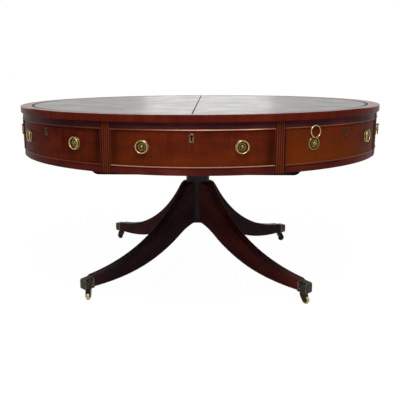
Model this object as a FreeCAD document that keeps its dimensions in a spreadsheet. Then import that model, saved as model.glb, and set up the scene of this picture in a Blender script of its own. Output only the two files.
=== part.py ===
import FreeCAD, Part
import Sketcher
import math
import os

# A circular library table with eight drawer fronts, on a column with four sabre legs and castors.
# Four of the fronts belong to drawers that slide, and the four on the diagonals are fixed.
# Millimetres. The origin is on the floor under the column, +Z is up, and the first drawer opens to -Y.

SIZES = {
    # the round top: board, lipping, crossbanding and two leather panels
    "table_height": 762,
    "top_radius": 762,
    "top_thickness": 25,
    "top_overhang": 8,
    "lipping_width": 12,
    "lipping_bevel": 3,
    "veneer_thickness": 2,
    "leather_border": 45,
    "leather_thickness": 1.6,
    "leather_seam": 1,
    # the drum under the top
    "frieze_depth": 171,
    "rail_thickness": 22,
    "upper_rail_depth": 21,
    "lower_rail_depth": 24,
    "floor_thickness": 18,
    "front_count": 8,
    "pilaster_width": 35,
    "pilaster_depth": 37,
    "pilaster_margin": 1.5,
    "reed_count": 4,
    "reed_stand": 1,
    # drawer fronts, real and fixed, with their cock beads
    "drawer_gap": 0.6,
    "bead_width": 4.5,
    "bead_stand": 2.5,
    # drawer boxes and what they slide on
    "drawer_count": 4,
    "drawer_side_clearance": 7,
    "drawer_side_thickness": 12,
    "drawer_side_headroom": 8,
    "drawer_back_thickness": 10,
    "drawer_back_drop": 8,
    "drawer_corner_gap": 12,
    "drawer_bottom_thickness": 7,
    "drawer_bottom_lift": 6,
    "drawer_groove_depth": 5,
    "runner_lap": 25,
    "guide_gap": 1,
    "guide_thickness": 12,
    "guide_depth": 30,
    "guide_end_gap": 20,
    # ring pulls, escutcheons and locks
    "pull_angle": 12.4,
    "pull_rise": 5.5,
    "rose_radius": 23.5,
    "rose_thickness": 2.5,
    "rose_bevel": 2,
    "boss_radius": 8,
    "boss_height": 10,
    "boss_taper": 4,
    "ring_radius": 20,
    "ring_wire_radius": 2,
    "ring_standoff": 8,
    "ring_play": 0.35,
    "knuckle_width": 6,
    "knuckle_wall": 2,
    "shank_radius": 3,
    "shank_clearance": 0.5,
    "shank_tail": 8,
    "nut_radius": 6,
    "nut_thickness": 4,
    "nut_relief": 0.1,
    "ring_flip_angle": 184,
    "escutcheon_drop": 24,
    "escutcheon_width": 16,
    "escutcheon_height": 30,
    "escutcheon_thickness": 1.5,
    "keyhole_radius": 3.4,
    "keyhole_slot": 3.6,
    "keyhole_drop": 10,
    "key_clearance": 0.2,
    "lock_width": 52,
    "lock_height": 38,
    "lock_thickness": 12,
    "lock_mortise": 6,
    # the bearer frame under the drum, and the pivot that it turns on
    "bearer_depth": 60,
    "bearer_thickness": 45,
    "bearer_reach": 400,
    "bearer_flat": 375,
    "bearer_ogee_run": 75,
    "bearer_round": 32,
    "pivot_block_half": 100,
    "table_block_radius": 150,
    "table_block_thickness": 38,
    "table_block_bevel": 12,
    "pivot_radius": 12.5,
    "pivot_clearance": 0.05,
    "pivot_seat": 110,
    "pivot_floor_clearance": 1,
    "pivot_washer_radius": 30,
    "pivot_washer_thickness": 4,
    "pivot_nut_radius": 22,
    "pivot_nut_thickness": 14,
    "pivot_tail": 6,
    # column and sabre legs
    "column_radius": 52.5,
    "column_foot": 222,
    "column_tenon_radius": 30,
    "leg_count": 4,
    "leg_shoulder_height": 409,
    "leg_shoulder_angle": 8,
    "leg_shoulder_pull": 28,
    "leg_knee_reach": 110,
    "leg_knee_height": 354,
    "leg_knee_angle": 53.5,
    "leg_knee_pull": 160,
    "leg_arch_angle": 15.5,
    "leg_arch_pull": 60,
    "leg_hock_reach": 190,
    "leg_hock_height": 148,
    "leg_hock_angle": 27.5,
    "leg_hock_pull": 122,
    "leg_ankle_over": 3,
    "leg_ankle_under": 5,
    "leg_ankle_angle": 6.4,
    "leg_ankle_pull": 262,
    "leg_sole_angle": 3.3,
    "leg_sole_pull": 190,
    "leg_thickness": 56,
    "leg_ankle_thickness": 44,
    "leg_reed_width": 6,
    "leg_quirk_width": 3,
    "leg_quirk_depth": 1.6,
    "dovetail_neck": 22,
    "dovetail_tail": 30,
    "dovetail_depth": 16,
    "dovetail_shoulder": 12,
    # toe cups and castors
    "cup_reach": 590,
    "cup_length": 44,
    "cup_width": 41,
    "cup_base_height": 50,
    "cup_heel_height": 93,
    "cup_toe_height": 88.5,
    "cup_wall": 3,
    "cup_round": 6,
    "cup_lip_length": 6,
    "cup_lip_stand": 1.5,
    "castor_inset": 15,
    "castor_trail": 12,
    # the direction that each castor trails in, counted from +X
    "castor_heading_front_right": -45,
    "castor_heading_rear_right": 25,
    "castor_heading_rear_left": 140,
    "castor_heading_front_left": -90,
    "spindle_radius": 5,
    "spindle_clearance": 0.05,
    "spindle_length": 18,
    "spindle_well_clearance": 0.5,
    "swivel_radius": 13,
    "swivel_thickness": 6,
    "wheel_radius": 16.5,
    "wheel_width": 13,
    "wheel_dish": 2,
    "wheel_rim": 5,
    "wheel_hub_radius": 6,
    "wheel_hub_bevel": 1,
    "wheel_tread_width": 5,
    "wheel_shoulder_drop": 3,
    "wheel_side_gap": 0.6,
    "wheel_well_gap": 1.8,
    "cheek_thickness": 3.5,
    "axle_radius": 2.5,
    "axle_clearance": 0.05,
    "axle_boss_radius": 6.5,
}

doc = FreeCAD.newDocument("library_table")
sheet = doc.addObject("Spreadsheet::Sheet", "Sizes")
for row, (alias, number) in enumerate(SIZES.items(), start=1):
    sheet.set(f"A{row}", str(number))
    sheet.setAlias(f"A{row}", alias)
doc.recompute()


class Size:
    """A length, angle or count that is worked out from the sheet: its value, and the expression that gives it."""

    def __init__(self, value, text):
        self.value = value
        self.text = text

    def _with(self, other, sign, value):
        text = other.text if isinstance(other, Size) else str(other)
        return Size(value, f"({self.text} {sign} {text})")

    def __add__(self, other):
        return self._with(other, "+", self.value + number_of(other))

    def __sub__(self, other):
        return self._with(other, "-", self.value - number_of(other))

    def __mul__(self, other):
        return self._with(other, "*", self.value * number_of(other))

    def __truediv__(self, other):
        return self._with(other, "/", self.value / number_of(other))

    def __neg__(self):
        return Size(-self.value, f"(-1 * {self.text})")


def number_of(size):
    return size.value if isinstance(size, Size) else size


def cell(alias):
    return Size(float(sheet.get(alias)), f"Sizes.{alias}")


ZERO = Size(0.0, "0")


def sine(angle):
    return Size(math.sin(math.radians(angle.value)), f"sin({angle.text} * 1 deg)")


def cosine(angle):
    return Size(math.cos(math.radians(angle.value)), f"cos({angle.text} * 1 deg)")


# ---- levels and radii that several pieces share ----

top_under = cell("table_height") - cell("top_thickness")
board_top = cell("table_height") - cell("veneer_thickness")
drum_under = top_under - cell("frieze_depth")
floor_top = drum_under + cell("floor_thickness")
opening_under = drum_under + cell("lower_rail_depth")
opening_over = top_under - cell("upper_rail_depth")
frieze_radius = cell("top_radius") - cell("top_overhang")
rail_inner = frieze_radius - cell("rail_thickness")
leather_radius = cell("top_radius") - cell("leather_border")
lipping_inner = cell("top_radius") - cell("lipping_width")
bead_outer = frieze_radius + cell("bead_stand")
front_span = Size(360.0, "360") / cell("front_count")
drawer_span = Size(360.0, "360") / cell("drawer_count")
reed_radius = (cell("pilaster_width") - cell("pilaster_margin") * 2) / (cell("reed_count") * 2)
reed_reach = frieze_radius + cell("reed_stand") - reed_radius
pilaster_inner = reed_reach - cell("pilaster_depth")
# a drawer is as wide as the inner corners of the pilasters beside it let it be
pilaster_corner = pilaster_inner * sine(front_span / 2) - cell("pilaster_width") / 2 * cosine(front_span / 2)
drawer_half = pilaster_corner - cell("drawer_side_clearance")
drawer_back_reach = drawer_half + cell("drawer_corner_gap")
drawer_side_depth = opening_over - opening_under - cell("drawer_side_headroom")
guide_reach = pilaster_inner * cosine(front_span / 2) - cell("guide_end_gap")
pull_height = (opening_under + opening_over) / 2 + cell("pull_rise")
keyhole_height = opening_over - cell("escutcheon_drop")
bearer_under = drum_under - cell("bearer_depth")
block_under = bearer_under - cell("table_block_thickness")
cup_end = cell("cup_reach") + cell("cup_length")
castor_reach = cell("cup_reach") + cell("castor_inset")
bearer_half_length = cell("bearer_flat") + cell("bearer_ogee_run")


# ---- how pieces are made ----


def bind(target, prop, size):
    target.setExpression(prop, size.text)


def put_at(piece, x=ZERO, y=ZERO, z=ZERO):
    """Places a piece, with each coordinate bound to the sheet."""
    for axis, size in (("x", x), ("y", y), ("z", z)):
        if size is not ZERO:
            bind(piece, f"Placement.Base.{axis}", size)
    return piece


def box(name, x, y, z):
    """A box between two bounds on each axis, each bound a Size."""
    piece = doc.addObject("Part::Box", name)
    for prop, (low, high) in (("Length", x), ("Width", y), ("Height", z)):
        bind(piece, prop, high - low)
    return put_at(piece, x[0], y[0], z[0])


def cylinder(name, radius, low, high, x=ZERO, y=ZERO):
    """An upright cylinder between two heights."""
    piece = doc.addObject("Part::Cylinder", name)
    bind(piece, "Radius", radius)
    bind(piece, "Height", high - low)
    return put_at(piece, x, y, low)


def rod(name, radius, axis, start, end, at):
    """A cylinder along the X or Y axis from start to end, through the point (the other level, height) in at."""
    piece = doc.addObject("Part::Cylinder", name)
    bind(piece, "Radius", radius)
    bind(piece, "Height", end - start)
    turn = FreeCAD.Rotation(FreeCAD.Vector(0, 1, 0), 90)
    if axis == "y":
        turn = FreeCAD.Rotation(FreeCAD.Vector(1, 0, 0), -90)
    piece.Placement = FreeCAD.Placement(FreeCAD.Vector(), turn)
    if axis == "x":
        return put_at(piece, start, at[0], at[1])
    return put_at(piece, at[0], start, at[1])


def cut(name, base, tool):
    piece = doc.addObject("Part::Cut", name)
    piece.Base = base
    piece.Tool = tool
    return piece


def common(name, base, tool):
    piece = doc.addObject("Part::Common", name)
    piece.Base = base
    piece.Tool = tool
    return piece


def fuse(name, pieces):
    piece = doc.addObject("Part::MultiFuse", name)
    piece.Shapes = pieces
    return piece


def group(name, pieces):
    """Separate solids in one object."""
    piece = doc.addObject("Part::Compound", name)
    piece.Links = pieces
    return piece


def turned(name, source, angle):
    """The same piece again, turned about the table's axis."""
    copy = doc.addObject("App::Link", name)
    copy.LinkedObject = source
    copy.LinkTransform = True
    if angle.value:
        bind(copy, "Placement.Rotation.Angle", angle * Size(1.0, "1 deg"))
    return copy


def turned_about(name, source, angles):
    """Several copies of a piece about the table's axis, as separate solids in one object."""
    copies = [turned(f"{name}_{n}", source, angle) for n, angle in enumerate(angles, start=1)]
    return group(name, copies)


def steps_round(count, start=ZERO):
    """The angles of equal steps round the table, one for each of count."""
    step = Size(360.0, "360") / count
    return [start + step * n for n in range(round(count.value))]


def origin_of(body, role):
    return next(feature for feature in body.Origin.OriginFeatures if feature.Role == role)


def tie(sketch, edge, end, x, y):
    """Ties one end of a sketch edge, or a circle's centre, to a place given by two sizes."""
    for kind, size, axis in (("DistanceX", x, -2), ("DistanceY", y, -1)):
        if size.value == 0:
            sketch.addConstraint(Sketcher.Constraint("PointOnObject", edge, end, axis))
        else:
            index = sketch.addConstraint(Sketcher.Constraint(kind, -1, 1, edge, end, size.value))
            bind(sketch, f"Constraints[{index}]", size)


def new_sketch(body, plane, name):
    sketch = body.newObject("Sketcher::SketchObject", name)
    sketch.AttachmentSupport = (origin_of(body, plane), [""])
    sketch.MapMode = "FlatFace"
    return sketch


def outline(body, plane, name, corners):
    """A closed sketch of straight edges through corners, each a pair of sizes."""
    sketch = new_sketch(body, plane, name)
    points = [FreeCAD.Vector(x.value, y.value, 0) for x, y in corners]
    for start, end in zip(points, points[1:] + points[:1]):
        sketch.addGeometry(Part.LineSegment(start, end))
    for edge in range(len(points)):
        sketch.addConstraint(Sketcher.Constraint("Coincident", edge, 2, (edge + 1) % len(points), 1))
    for edge, (x, y) in enumerate(corners):
        tie(sketch, edge, 1, x, y)
    return sketch


def circle(body, plane, name, radius, x, y):
    sketch = new_sketch(body, plane, name)
    centre = FreeCAD.Vector(x.value, y.value, 0)
    sketch.addGeometry(Part.Circle(centre, FreeCAD.Vector(0, 0, 1), radius.value))
    tie(sketch, 0, 3, x, y)
    index = sketch.addConstraint(Sketcher.Constraint("Radius", 0, radius.value))
    bind(sketch, f"Constraints[{index}]", radius)
    return sketch


def revolved(name, corners, plane="XZ_Plane", axis="Z_Axis", span=None):
    """A turned piece: an outline revolved about an axis, all round or centred on its plane over a span."""
    body = doc.addObject("PartDesign::Body", name)
    turn = body.newObject("PartDesign::Revolution", f"{name}_turning")
    turn.Profile = outline(body, plane, f"{name}_outline", corners)
    turn.ReferenceAxis = (origin_of(body, axis), [""])
    turn.Angle = 360
    if span is not None:
        turn.Midplane = True
        bind(turn, "Angle", span)
    return body


def padded(name, plane, corners, thickness):
    """A board: an outline thickened equally to both sides of its plane."""
    body = doc.addObject("PartDesign::Body", name)
    add_pad(body, outline(body, plane, f"{name}_outline", corners), thickness)
    return body


def add_pad(body, sketch, thickness):
    pad = body.newObject("PartDesign::Pad", f"{sketch.Name}_pad")
    pad.Profile = sketch
    pad.Midplane = True
    bind(pad, "Length", thickness)
    return pad


def add_pocket(body, sketch, thickness):
    pocket = body.newObject("PartDesign::Pocket", f"{sketch.Name}_pocket")
    pocket.Profile = sketch
    pocket.Midplane = True
    bind(pocket, "Length", thickness)
    return pocket


def round_edges(body, radius, wanted):
    """Rounds the edges of a body's tip that the test wanted picks."""
    doc.recompute()
    tip = body.Tip
    names = [f"Edge{n}" for n, edge in enumerate(tip.Shape.Edges, start=1) if wanted(edge)]
    rounding = body.newObject("PartDesign::Fillet", f"{body.Name}_rounding")
    rounding.Base = (tip, names)
    bind(rounding, "Radius", radius)
    return rounding


def rectangle(x, y):
    """The corners of a rectangle between two bounds on each axis."""
    return [(x[0], y[0]), (x[1], y[0]), (x[1], y[1]), (x[0], y[1])]


# ---- the top ----


def make_top():
    board = revolved("top_board", rectangle((ZERO, lipping_inner), (top_under, board_top)))
    edge = cell("top_radius")
    bevel = cell("lipping_bevel")
    lipping_corners = [
        (lipping_inner, top_under),
        (edge - bevel, top_under),
        (edge, top_under + bevel),
        (edge, board_top),
        (lipping_inner, board_top),
    ]
    lipping = revolved("top_lipping", lipping_corners)
    crossbanding = revolved("top_crossbanding", rectangle((leather_radius, edge), (board_top, cell("table_height"))))
    leather = cylinder("leather", leather_radius, board_top, board_top + cell("leather_thickness"))
    half_seam = cell("leather_seam") / 2
    seam = box("seam", (-half_seam, half_seam), (-leather_radius, leather_radius), (board_top, cell("table_height")))
    return [board, lipping, crossbanding, cut("leather_panels", leather, seam)]


# ---- the drum's carcase ----


def pilaster_slots(name, margin, angles):
    """Upright blocks as wide as a pilaster and a margin on each side, where the pilasters stand."""
    half = cell("pilaster_width") / 2 + margin
    reach = (rail_inner - cell("pilaster_depth"), cell("top_radius"))
    slot = box(f"{name}_slot", reach, (-half, half), (drum_under, top_under))
    return turned_about(name, slot, angles)


def make_carcase():
    angles = steps_round(cell("front_count"), front_span / 2)
    slots = pilaster_slots("pilaster_slots", ZERO, angles)
    bored = cut(
        "bored_floor",
        cylinder("floor_disc", rail_inner, drum_under, floor_top),
        cylinder("floor_bore", cell("pivot_radius") + cell("pivot_floor_clearance"), drum_under, floor_top),
    )
    floor = cut("drum_floor", bored, slots)
    rails = []
    for name, levels in (("lower_rails", (drum_under, opening_under)), ("upper_rails", (opening_over, top_under))):
        hoop = revolved(f"{name}_hoop", rectangle((rail_inner, frieze_radius), levels))
        rails.append(cut(name, hoop, slots))
    return [floor, *rails, make_pilasters(angles), make_runners()]


def make_pilasters(angles):
    """Posts with half-round reeds down their faces."""
    half = cell("pilaster_width") / 2
    levels = (drum_under, top_under)
    pieces = [box("post", (pilaster_inner, reed_reach), (-half, half), levels)]
    for n in range(round(cell("reed_count").value)):
        across = reed_radius * (2 * n + 1) - reed_radius * cell("reed_count")
        pieces.append(cylinder(f"reed_{n}", reed_radius, *levels, reed_reach, across))
    return turned_about("pilasters", fuse("pilaster", pieces), angles)


def make_runners():
    """Under each side of each drawer, a runner level with the lower rail and a guide that stands beside it."""
    inner = drawer_half - cell("runner_lap")
    guide_inner = drawer_half + cell("guide_gap")
    guide_outer = guide_inner + cell("guide_thickness")
    start = drawer_back_reach + cell("guide_thickness")
    corners = [
        (inner, floor_top),
        (guide_outer, floor_top),
        (guide_outer, floor_top + cell("guide_depth")),
        (guide_inner, floor_top + cell("guide_depth")),
        (guide_inner, opening_under),
        (inner, opening_under),
    ]
    body = doc.addObject("PartDesign::Body", "runner_pair")
    for side, sign in (("left", 1), ("right", -1)):
        section = outline(body, "YZ_Plane", f"{side}_runner", [(y * sign, z) for y, z in corners])
        bind(section, "AttachmentOffset.Base.z", start)
        pad = body.newObject("PartDesign::Pad", f"{side}_runner_pad")
        pad.Profile = section
        bind(pad, "Length", guide_reach - start)
    return turned_about("drawer_runners", body, steps_round(cell("drawer_count")))


# ---- drawer fronts ----


def front_sector(name, radii, levels):
    """A curved slab as wide as one front and half a pilaster on each side."""
    return revolved(name, rectangle(radii, levels), span=front_span)


def make_front(name, gap):
    """A curved front board, and the four cock beads round it that stand out from its face."""
    ends = [-(front_span / 2), front_span / 2]
    low = opening_under + gap
    high = opening_over - gap
    bead = cell("bead_width")
    clear = pilaster_slots(f"{name}_clear", gap, ends)
    within_beads = pilaster_slots(f"{name}_within_beads", gap + bead, ends)
    slab = front_sector(f"{name}_slab", (rail_inner, frieze_radius), (low + bead, high - bead))
    board = cut(f"{name}_board", slab, within_beads)
    radii = (rail_inner, bead_outer)
    beads = []
    for edge, levels in (("lower", (low, low + bead)), ("upper", (high - bead, high))):
        beads.append(cut(f"{name}_{edge}_bead", front_sector(f"{name}_{edge}_strip", radii, levels), clear))
    upright = front_sector(f"{name}_end_slab", radii, (low + bead, high - bead))
    beads.append(cut(f"{name}_end_beads", common(f"{name}_uprights", upright, within_beads), clear))
    return board, beads


def pull_drillings(name):
    """The two holes for the pulls' shanks."""
    radius = cell("shank_radius") + cell("shank_clearance")
    hole = rod(f"{name}_drill", radius, "x", rail_inner - 1, frieze_radius + 1, (ZERO, pull_height))
    return turned_about(name, hole, [-cell("pull_angle"), cell("pull_angle")])


def keyhole(name, start, end, play):
    """A keyhole's round eye and the slot under it, from one distance to another."""
    half = cell("keyhole_slot") / 2 + play
    eye = rod(f"{name}_eye", cell("keyhole_radius") + play, "x", start, end, (ZERO, keyhole_height))
    levels = (keyhole_height - cell("keyhole_drop") - play, keyhole_height)
    return fuse(name, [eye, box(f"{name}_slot", (start, end), (-half, half), levels)])


def make_lock():
    """A closed lock, let into the back of the front up to the bead over it."""
    half = cell("lock_width") / 2
    front = rail_inner + cell("lock_mortise")
    top = opening_over - cell("drawer_gap") - cell("bead_width")
    return box("lock", (front - cell("lock_thickness"), front), (-half, half), (top - cell("lock_height"), top))


# ---- drawer boxes ----


def make_drawer_box():
    """Two grooved sides and a back round a bottom, all ended on the curve of the front's back."""
    levels = (opening_under, opening_under + drawer_side_depth)
    reach = (drawer_back_reach, rail_inner)
    inner = drawer_half - cell("drawer_side_thickness")
    groove = inner + cell("drawer_groove_depth")
    bottom_under = opening_under + cell("drawer_bottom_lift")
    bottom_over = bottom_under + cell("drawer_bottom_thickness")
    curve = cylinder("drawer_curve", rail_inner, levels[0] - 1, levels[1] + 1)
    boards = [
        box("right_board", reach, (-drawer_half, -inner), levels),
        box("left_board", reach, (inner, drawer_half), levels),
    ]
    channel = box("bottom_groove", reach, (-groove, groove), (bottom_under, bottom_over))
    sides = cut("drawer_sides", common("curved_sides", group("side_boards", boards), curve), channel)
    bottom_board = box("bottom_board", reach, (-groove, groove), (bottom_under, bottom_over))
    bottom = common("drawer_bottom", bottom_board, curve)
    back_reach = (reach[0], reach[0] + cell("drawer_back_thickness"))
    back_levels = (bottom_over, levels[1] - cell("drawer_back_drop"))
    back = box("drawer_back", back_reach, (-inner, inner), back_levels)
    return group("drawer_box", [sides, back, bottom])


# ---- ring pulls and escutcheons ----


def make_rose():
    """A round back plate with a boss, a shank through the front, and a knuckle for the ring."""
    outer = cell("rose_radius")
    boss = cell("boss_radius")
    tail = -(cell("rail_thickness") + cell("shank_tail"))
    corners = [
        (tail, ZERO),
        (tail, cell("shank_radius")),
        (ZERO, cell("shank_radius")),
        (ZERO, outer),
        (cell("rose_thickness"), outer - cell("rose_bevel")),
        (cell("rose_thickness"), boss),
        (cell("boss_height"), boss - cell("boss_taper")),
        (cell("boss_height"), ZERO),
    ]
    body = revolved("rose", corners, axis="X_Axis")
    eye = cell("ring_wire_radius") + cell("ring_play")
    knuckle = eye + cell("knuckle_wall")
    pivot = (cell("ring_standoff"), cell("ring_radius"))
    block = rectangle((ZERO, pivot[0] + knuckle), (pivot[1] - knuckle, pivot[1] + knuckle))
    add_pad(body, outline(body, "XZ_Plane", "knuckle", block), cell("knuckle_width"))
    add_pocket(body, circle(body, "XZ_Plane", "knuckle_eye", eye, *pivot), cell("knuckle_width"))
    return put_at(body, frieze_radius, ZERO, pull_height)


def make_nut():
    """A hexagonal nut on the shank, which stands off the hollow back of the front by its relief."""
    seat = rail_inner - cell("nut_relief")
    under = seat - cell("nut_thickness")
    nut = doc.addObject("Part::Prism", "nut")
    nut.Polygon = 6
    bind(nut, "Circumradius", cell("nut_radius"))
    bind(nut, "Height", cell("nut_thickness"))
    nut.Placement = FreeCAD.Placement(FreeCAD.Vector(), FreeCAD.Rotation(FreeCAD.Vector(0, 1, 0), 90))
    put_at(nut, under, ZERO, pull_height)
    bore = rod("nut_bore", cell("shank_radius"), "x", under, seat, (ZERO, pull_height))
    return cut("pull_nut", nut, bore)


def make_escutcheon():
    """A thin plate with a round head and a square foot, pierced by the keyhole."""
    half = cell("escutcheon_width") / 2
    reach = (frieze_radius, frieze_radius + cell("escutcheon_thickness"))
    head = keyhole_height + cell("escutcheon_height") / 2 - half
    plate = box("plate", reach, (-half, half), (head + half - cell("escutcheon_height"), head))
    round_head = rod("plate_head", half, "x", *reach, (ZERO, head))
    return cut("escutcheon", fuse("plain_escutcheon", [plate, round_head]), keyhole("plate_keyhole", *reach, ZERO))


def make_ring():
    """A ring of eight-sided wire, hanging in front of its rose."""
    corners = []
    for n in range(8):
        turn = math.radians(45 * n + 22.5)
        across = cell("ring_radius") + cell("ring_wire_radius") * math.cos(turn)
        corners.append((across, cell("ring_wire_radius") * math.sin(turn)))
    ring = revolved("ring", corners)
    ring.Placement = FreeCAD.Placement(FreeCAD.Vector(), FreeCAD.Rotation(FreeCAD.Vector(0, 1, 0), 90))
    return put_at(ring, frieze_radius + cell("ring_standoff"), ZERO, pull_height)


def flipped_ring(ring):
    """The ring again, swung up about its pivot until it leans on the front."""
    copy = doc.addObject("App::Link", "flipped_ring")
    copy.LinkedObject = ring
    copy.LinkTransform = True
    pivot = FreeCAD.Vector(frieze_radius.value + cell("ring_standoff").value, 0, 0)
    pivot.z = pull_height.value + cell("ring_radius").value
    turn = FreeCAD.Rotation(FreeCAD.Vector(0, 1, 0), -cell("ring_flip_angle").value)
    copy.Placement = FreeCAD.Placement(pivot - turn.multVec(pivot), turn)
    return copy


# ---- drawers, fixed fronts and their pulls ----


def make_fronts():
    """The four drawers, the four fixed fronts, and the sixteen rings."""
    nodes = []
    rose = make_rose()
    nut = make_nut()
    escutcheon = make_escutcheon()
    ring = make_ring()
    flipped = flipped_ring(ring)
    drillings = pull_drillings("pull_drillings")
    handed = [-cell("pull_angle"), cell("pull_angle")]
    pulls = [turned_about("roses", rose, handed), turned_about("nuts", nut, handed)]

    lock = make_lock()
    board, beads = make_front("drawer", cell("drawer_gap"))
    drilled = cut("drilled_board", board, drillings)
    mortised = cut("mortised_board", drilled, lock)
    key_way = keyhole("key_way", rail_inner, frieze_radius, cell("key_clearance"))
    front = group("drawer_front", [cut("keyed_board", mortised, key_way), *beads])
    drawer_box = make_drawer_box()
    fittings = group("drawer_fittings", [*pulls, escutcheon, lock])
    quarter = Size(90.0, "90")
    for place, angle in zip(("front", "right", "rear", "left"), steps_round(cell("drawer_count"), -quarter)):
        nodes.append(turned(f"drawer_front_{place}", front, angle))
        nodes.append(turned(f"drawer_box_{place}", drawer_box, angle))
        nodes.append(turned(f"drawer_fittings_{place}", fittings, angle))
        for hand, offset in zip(("left", "right"), handed):
            nodes.append(turned(f"drawer_ring_{place}_{hand}", ring, angle + offset))

    fixed_board, fixed_beads = make_front("fixed", ZERO)
    fixed_front = group("fixed_front", [cut("fixed_drilled", fixed_board, drillings), *fixed_beads])
    fixed_fittings = group("fixed_fittings_set", [*pulls, escutcheon])
    corners = steps_round(cell("drawer_count"), drawer_span / 2 - quarter)
    nodes.append(turned_about("fixed_fronts", fixed_front, corners))
    nodes.append(turned_about("fixed_fittings", fixed_fittings, corners))
    for place, angle in zip(("front_right", "rear_right", "rear_left", "front_left"), corners):
        for hand, offset in zip(("left", "right"), handed):
            source = flipped if (place, hand) == ("front_right", "left") else ring
            nodes.append(turned(f"fixed_ring_{place}_{hand}", source, angle + offset))
    return nodes


# ---- the bearer frame and the pivot ----


def make_long_bearer():
    """A board across the drum's underside, its lower edge swept up in an ogee at each end."""
    flat = cell("bearer_flat").value
    end = bearer_half_length.value
    low = bearer_under.value
    high = drum_under.value
    convex = cell("bearer_round").value
    # the convex arc leaves the flat and turns up by a third of a right angle twice over
    turn = math.radians(60)
    joint = (flat + convex * math.sin(turn), low + convex * (1 - math.cos(turn)))
    middle = (flat + convex * math.sin(turn / 2), low + convex * (1 - math.cos(turn / 2)))
    # the concave arc goes on from there, with the same tangent, to the underside's end
    run, rise = end - joint[0], high - joint[1]
    chord = math.hypot(run, rise)
    bend = turn - math.atan2(rise, run)
    sag = chord / 2 * math.tan(bend / 2)
    half_way = (joint[0] + run / 2 - rise / chord * sag, joint[1] + rise / 2 + run / chord * sag)

    def right(point):
        return FreeCAD.Vector(point[0], 0, point[1])

    def left(point):
        return FreeCAD.Vector(-point[0], 0, point[1])

    def half_edge(side):
        return [
            Part.Arc(side((flat, low)), side(middle), side(joint)).toShape(),
            Part.Arc(side(joint), side(half_way), side((end, high))).toShape(),
        ]

    edges = half_edge(right)
    edges.append(Part.makeLine(right((end, high)), left((end, high))))
    edges.extend(half_edge(left))
    edges.append(Part.makeLine(left((flat, low)), right((flat, low))))
    face = Part.Face(Part.Wire(Part.__sortEdges__(edges)))
    bearer = doc.addObject("Part::Feature", "long_bearer")
    bearer.Shape = face.extrude(FreeCAD.Vector(0, cell("bearer_thickness").value, 0))
    return put_at(bearer, y=-cell("bearer_reach"))


def make_bearers():
    """Front and rear bearers, two cross bearers between them, and the block that holds the pivot's bore."""
    bearer = make_long_bearer()
    levels = (bearer_under, drum_under)
    half = cell("pivot_block_half")
    inner = cell("bearer_reach") - cell("bearer_thickness")
    cross = [
        box("left_cross_bearer", (-half - cell("bearer_thickness"), -half), (-inner, inner), levels),
        box("right_cross_bearer", (half, half + cell("bearer_thickness")), (-inner, inner), levels),
    ]
    bore = cylinder("pivot_bore", cell("pivot_radius") + cell("pivot_clearance"), *levels)
    block = cut("pivot_block", box("whole_pivot_block", (-half, half), (-half, half), levels), bore)
    return [
        turned("front_bearer", bearer, ZERO),
        turned("rear_bearer", bearer, Size(180.0, "180")),
        group("cross_bearers", cross),
        block,
    ]


def make_pivot():
    """An iron pin seated in the column, with a washer and a nut over the drum's floor."""
    radius = cell("pivot_radius")
    washer_top = floor_top + cell("pivot_washer_thickness")
    nut_top = washer_top + cell("pivot_nut_thickness")
    pin = cylinder("pin", radius, block_under - cell("pivot_seat"), nut_top + cell("pivot_tail"))
    washer = cut(
        "washer",
        cylinder("washer_disc", cell("pivot_washer_radius"), floor_top, washer_top),
        cylinder("washer_bore", radius, floor_top, washer_top),
    )
    nut = doc.addObject("Part::Prism", "hexagon")
    nut.Polygon = 6
    bind(nut, "Circumradius", cell("pivot_nut_radius"))
    bind(nut, "Height", cell("pivot_nut_thickness"))
    put_at(nut, z=washer_top)
    nut_bore = cylinder("nut_bore", radius, washer_top, nut_top)
    return group("pivot_pin", [pin, washer, cut("pivot_nut", nut, nut_bore)])


# ---- column and legs ----


def dovetail(name):
    """The upright tongue of a leg, from the column's foot to under the leg's shoulder."""
    reach = cell("column_radius")
    neck = cell("dovetail_neck") / 2
    tail = cell("dovetail_tail") / 2
    depth = cell("dovetail_depth")
    corners = [(reach, neck), (reach - depth, tail), (reach - depth, -tail), (reach, -neck)]
    body = doc.addObject("PartDesign::Body", name)
    pad = body.newObject("PartDesign::Pad", f"{name}_pad")
    pad.Profile = outline(body, "XY_Plane", f"{name}_outline", corners)
    bind(pad, "Length", cell("leg_shoulder_height") - cell("dovetail_shoulder") - cell("column_foot"))
    return put_at(body, z=cell("column_foot"))


def make_column():
    """A turned column with four dovetailed sockets, a tenon for the block and a bore for the pin."""
    radius = cell("column_radius")
    tenon = cell("column_tenon_radius")
    pin = cell("pivot_radius")
    seat = block_under - cell("pivot_seat")
    corners = [
        (ZERO, cell("column_foot")),
        (radius, cell("column_foot")),
        (radius, block_under),
        (tenon, block_under),
        (tenon, bearer_under),
        (pin, bearer_under),
        (pin, seat),
        (ZERO, seat),
    ]
    turned_column = revolved("turned_column", corners)
    quarter_turns = steps_round(cell("leg_count"), Size(360.0, "360") / cell("leg_count") / 2)
    return cut("column", turned_column, turned_about("dovetail_sockets", dovetail("socket"), quarter_turns))


def make_table_block():
    """The round block on the column's top, on which the bearer frame turns."""
    outer = cell("table_block_radius")
    bevel = cell("table_block_bevel")
    corners = [
        (cell("column_tenon_radius"), block_under),
        (outer - bevel, block_under),
        (outer, block_under + bevel),
        (outer, bearer_under),
        (cell("column_tenon_radius"), bearer_under),
    ]
    return revolved("table_block", corners)


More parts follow.
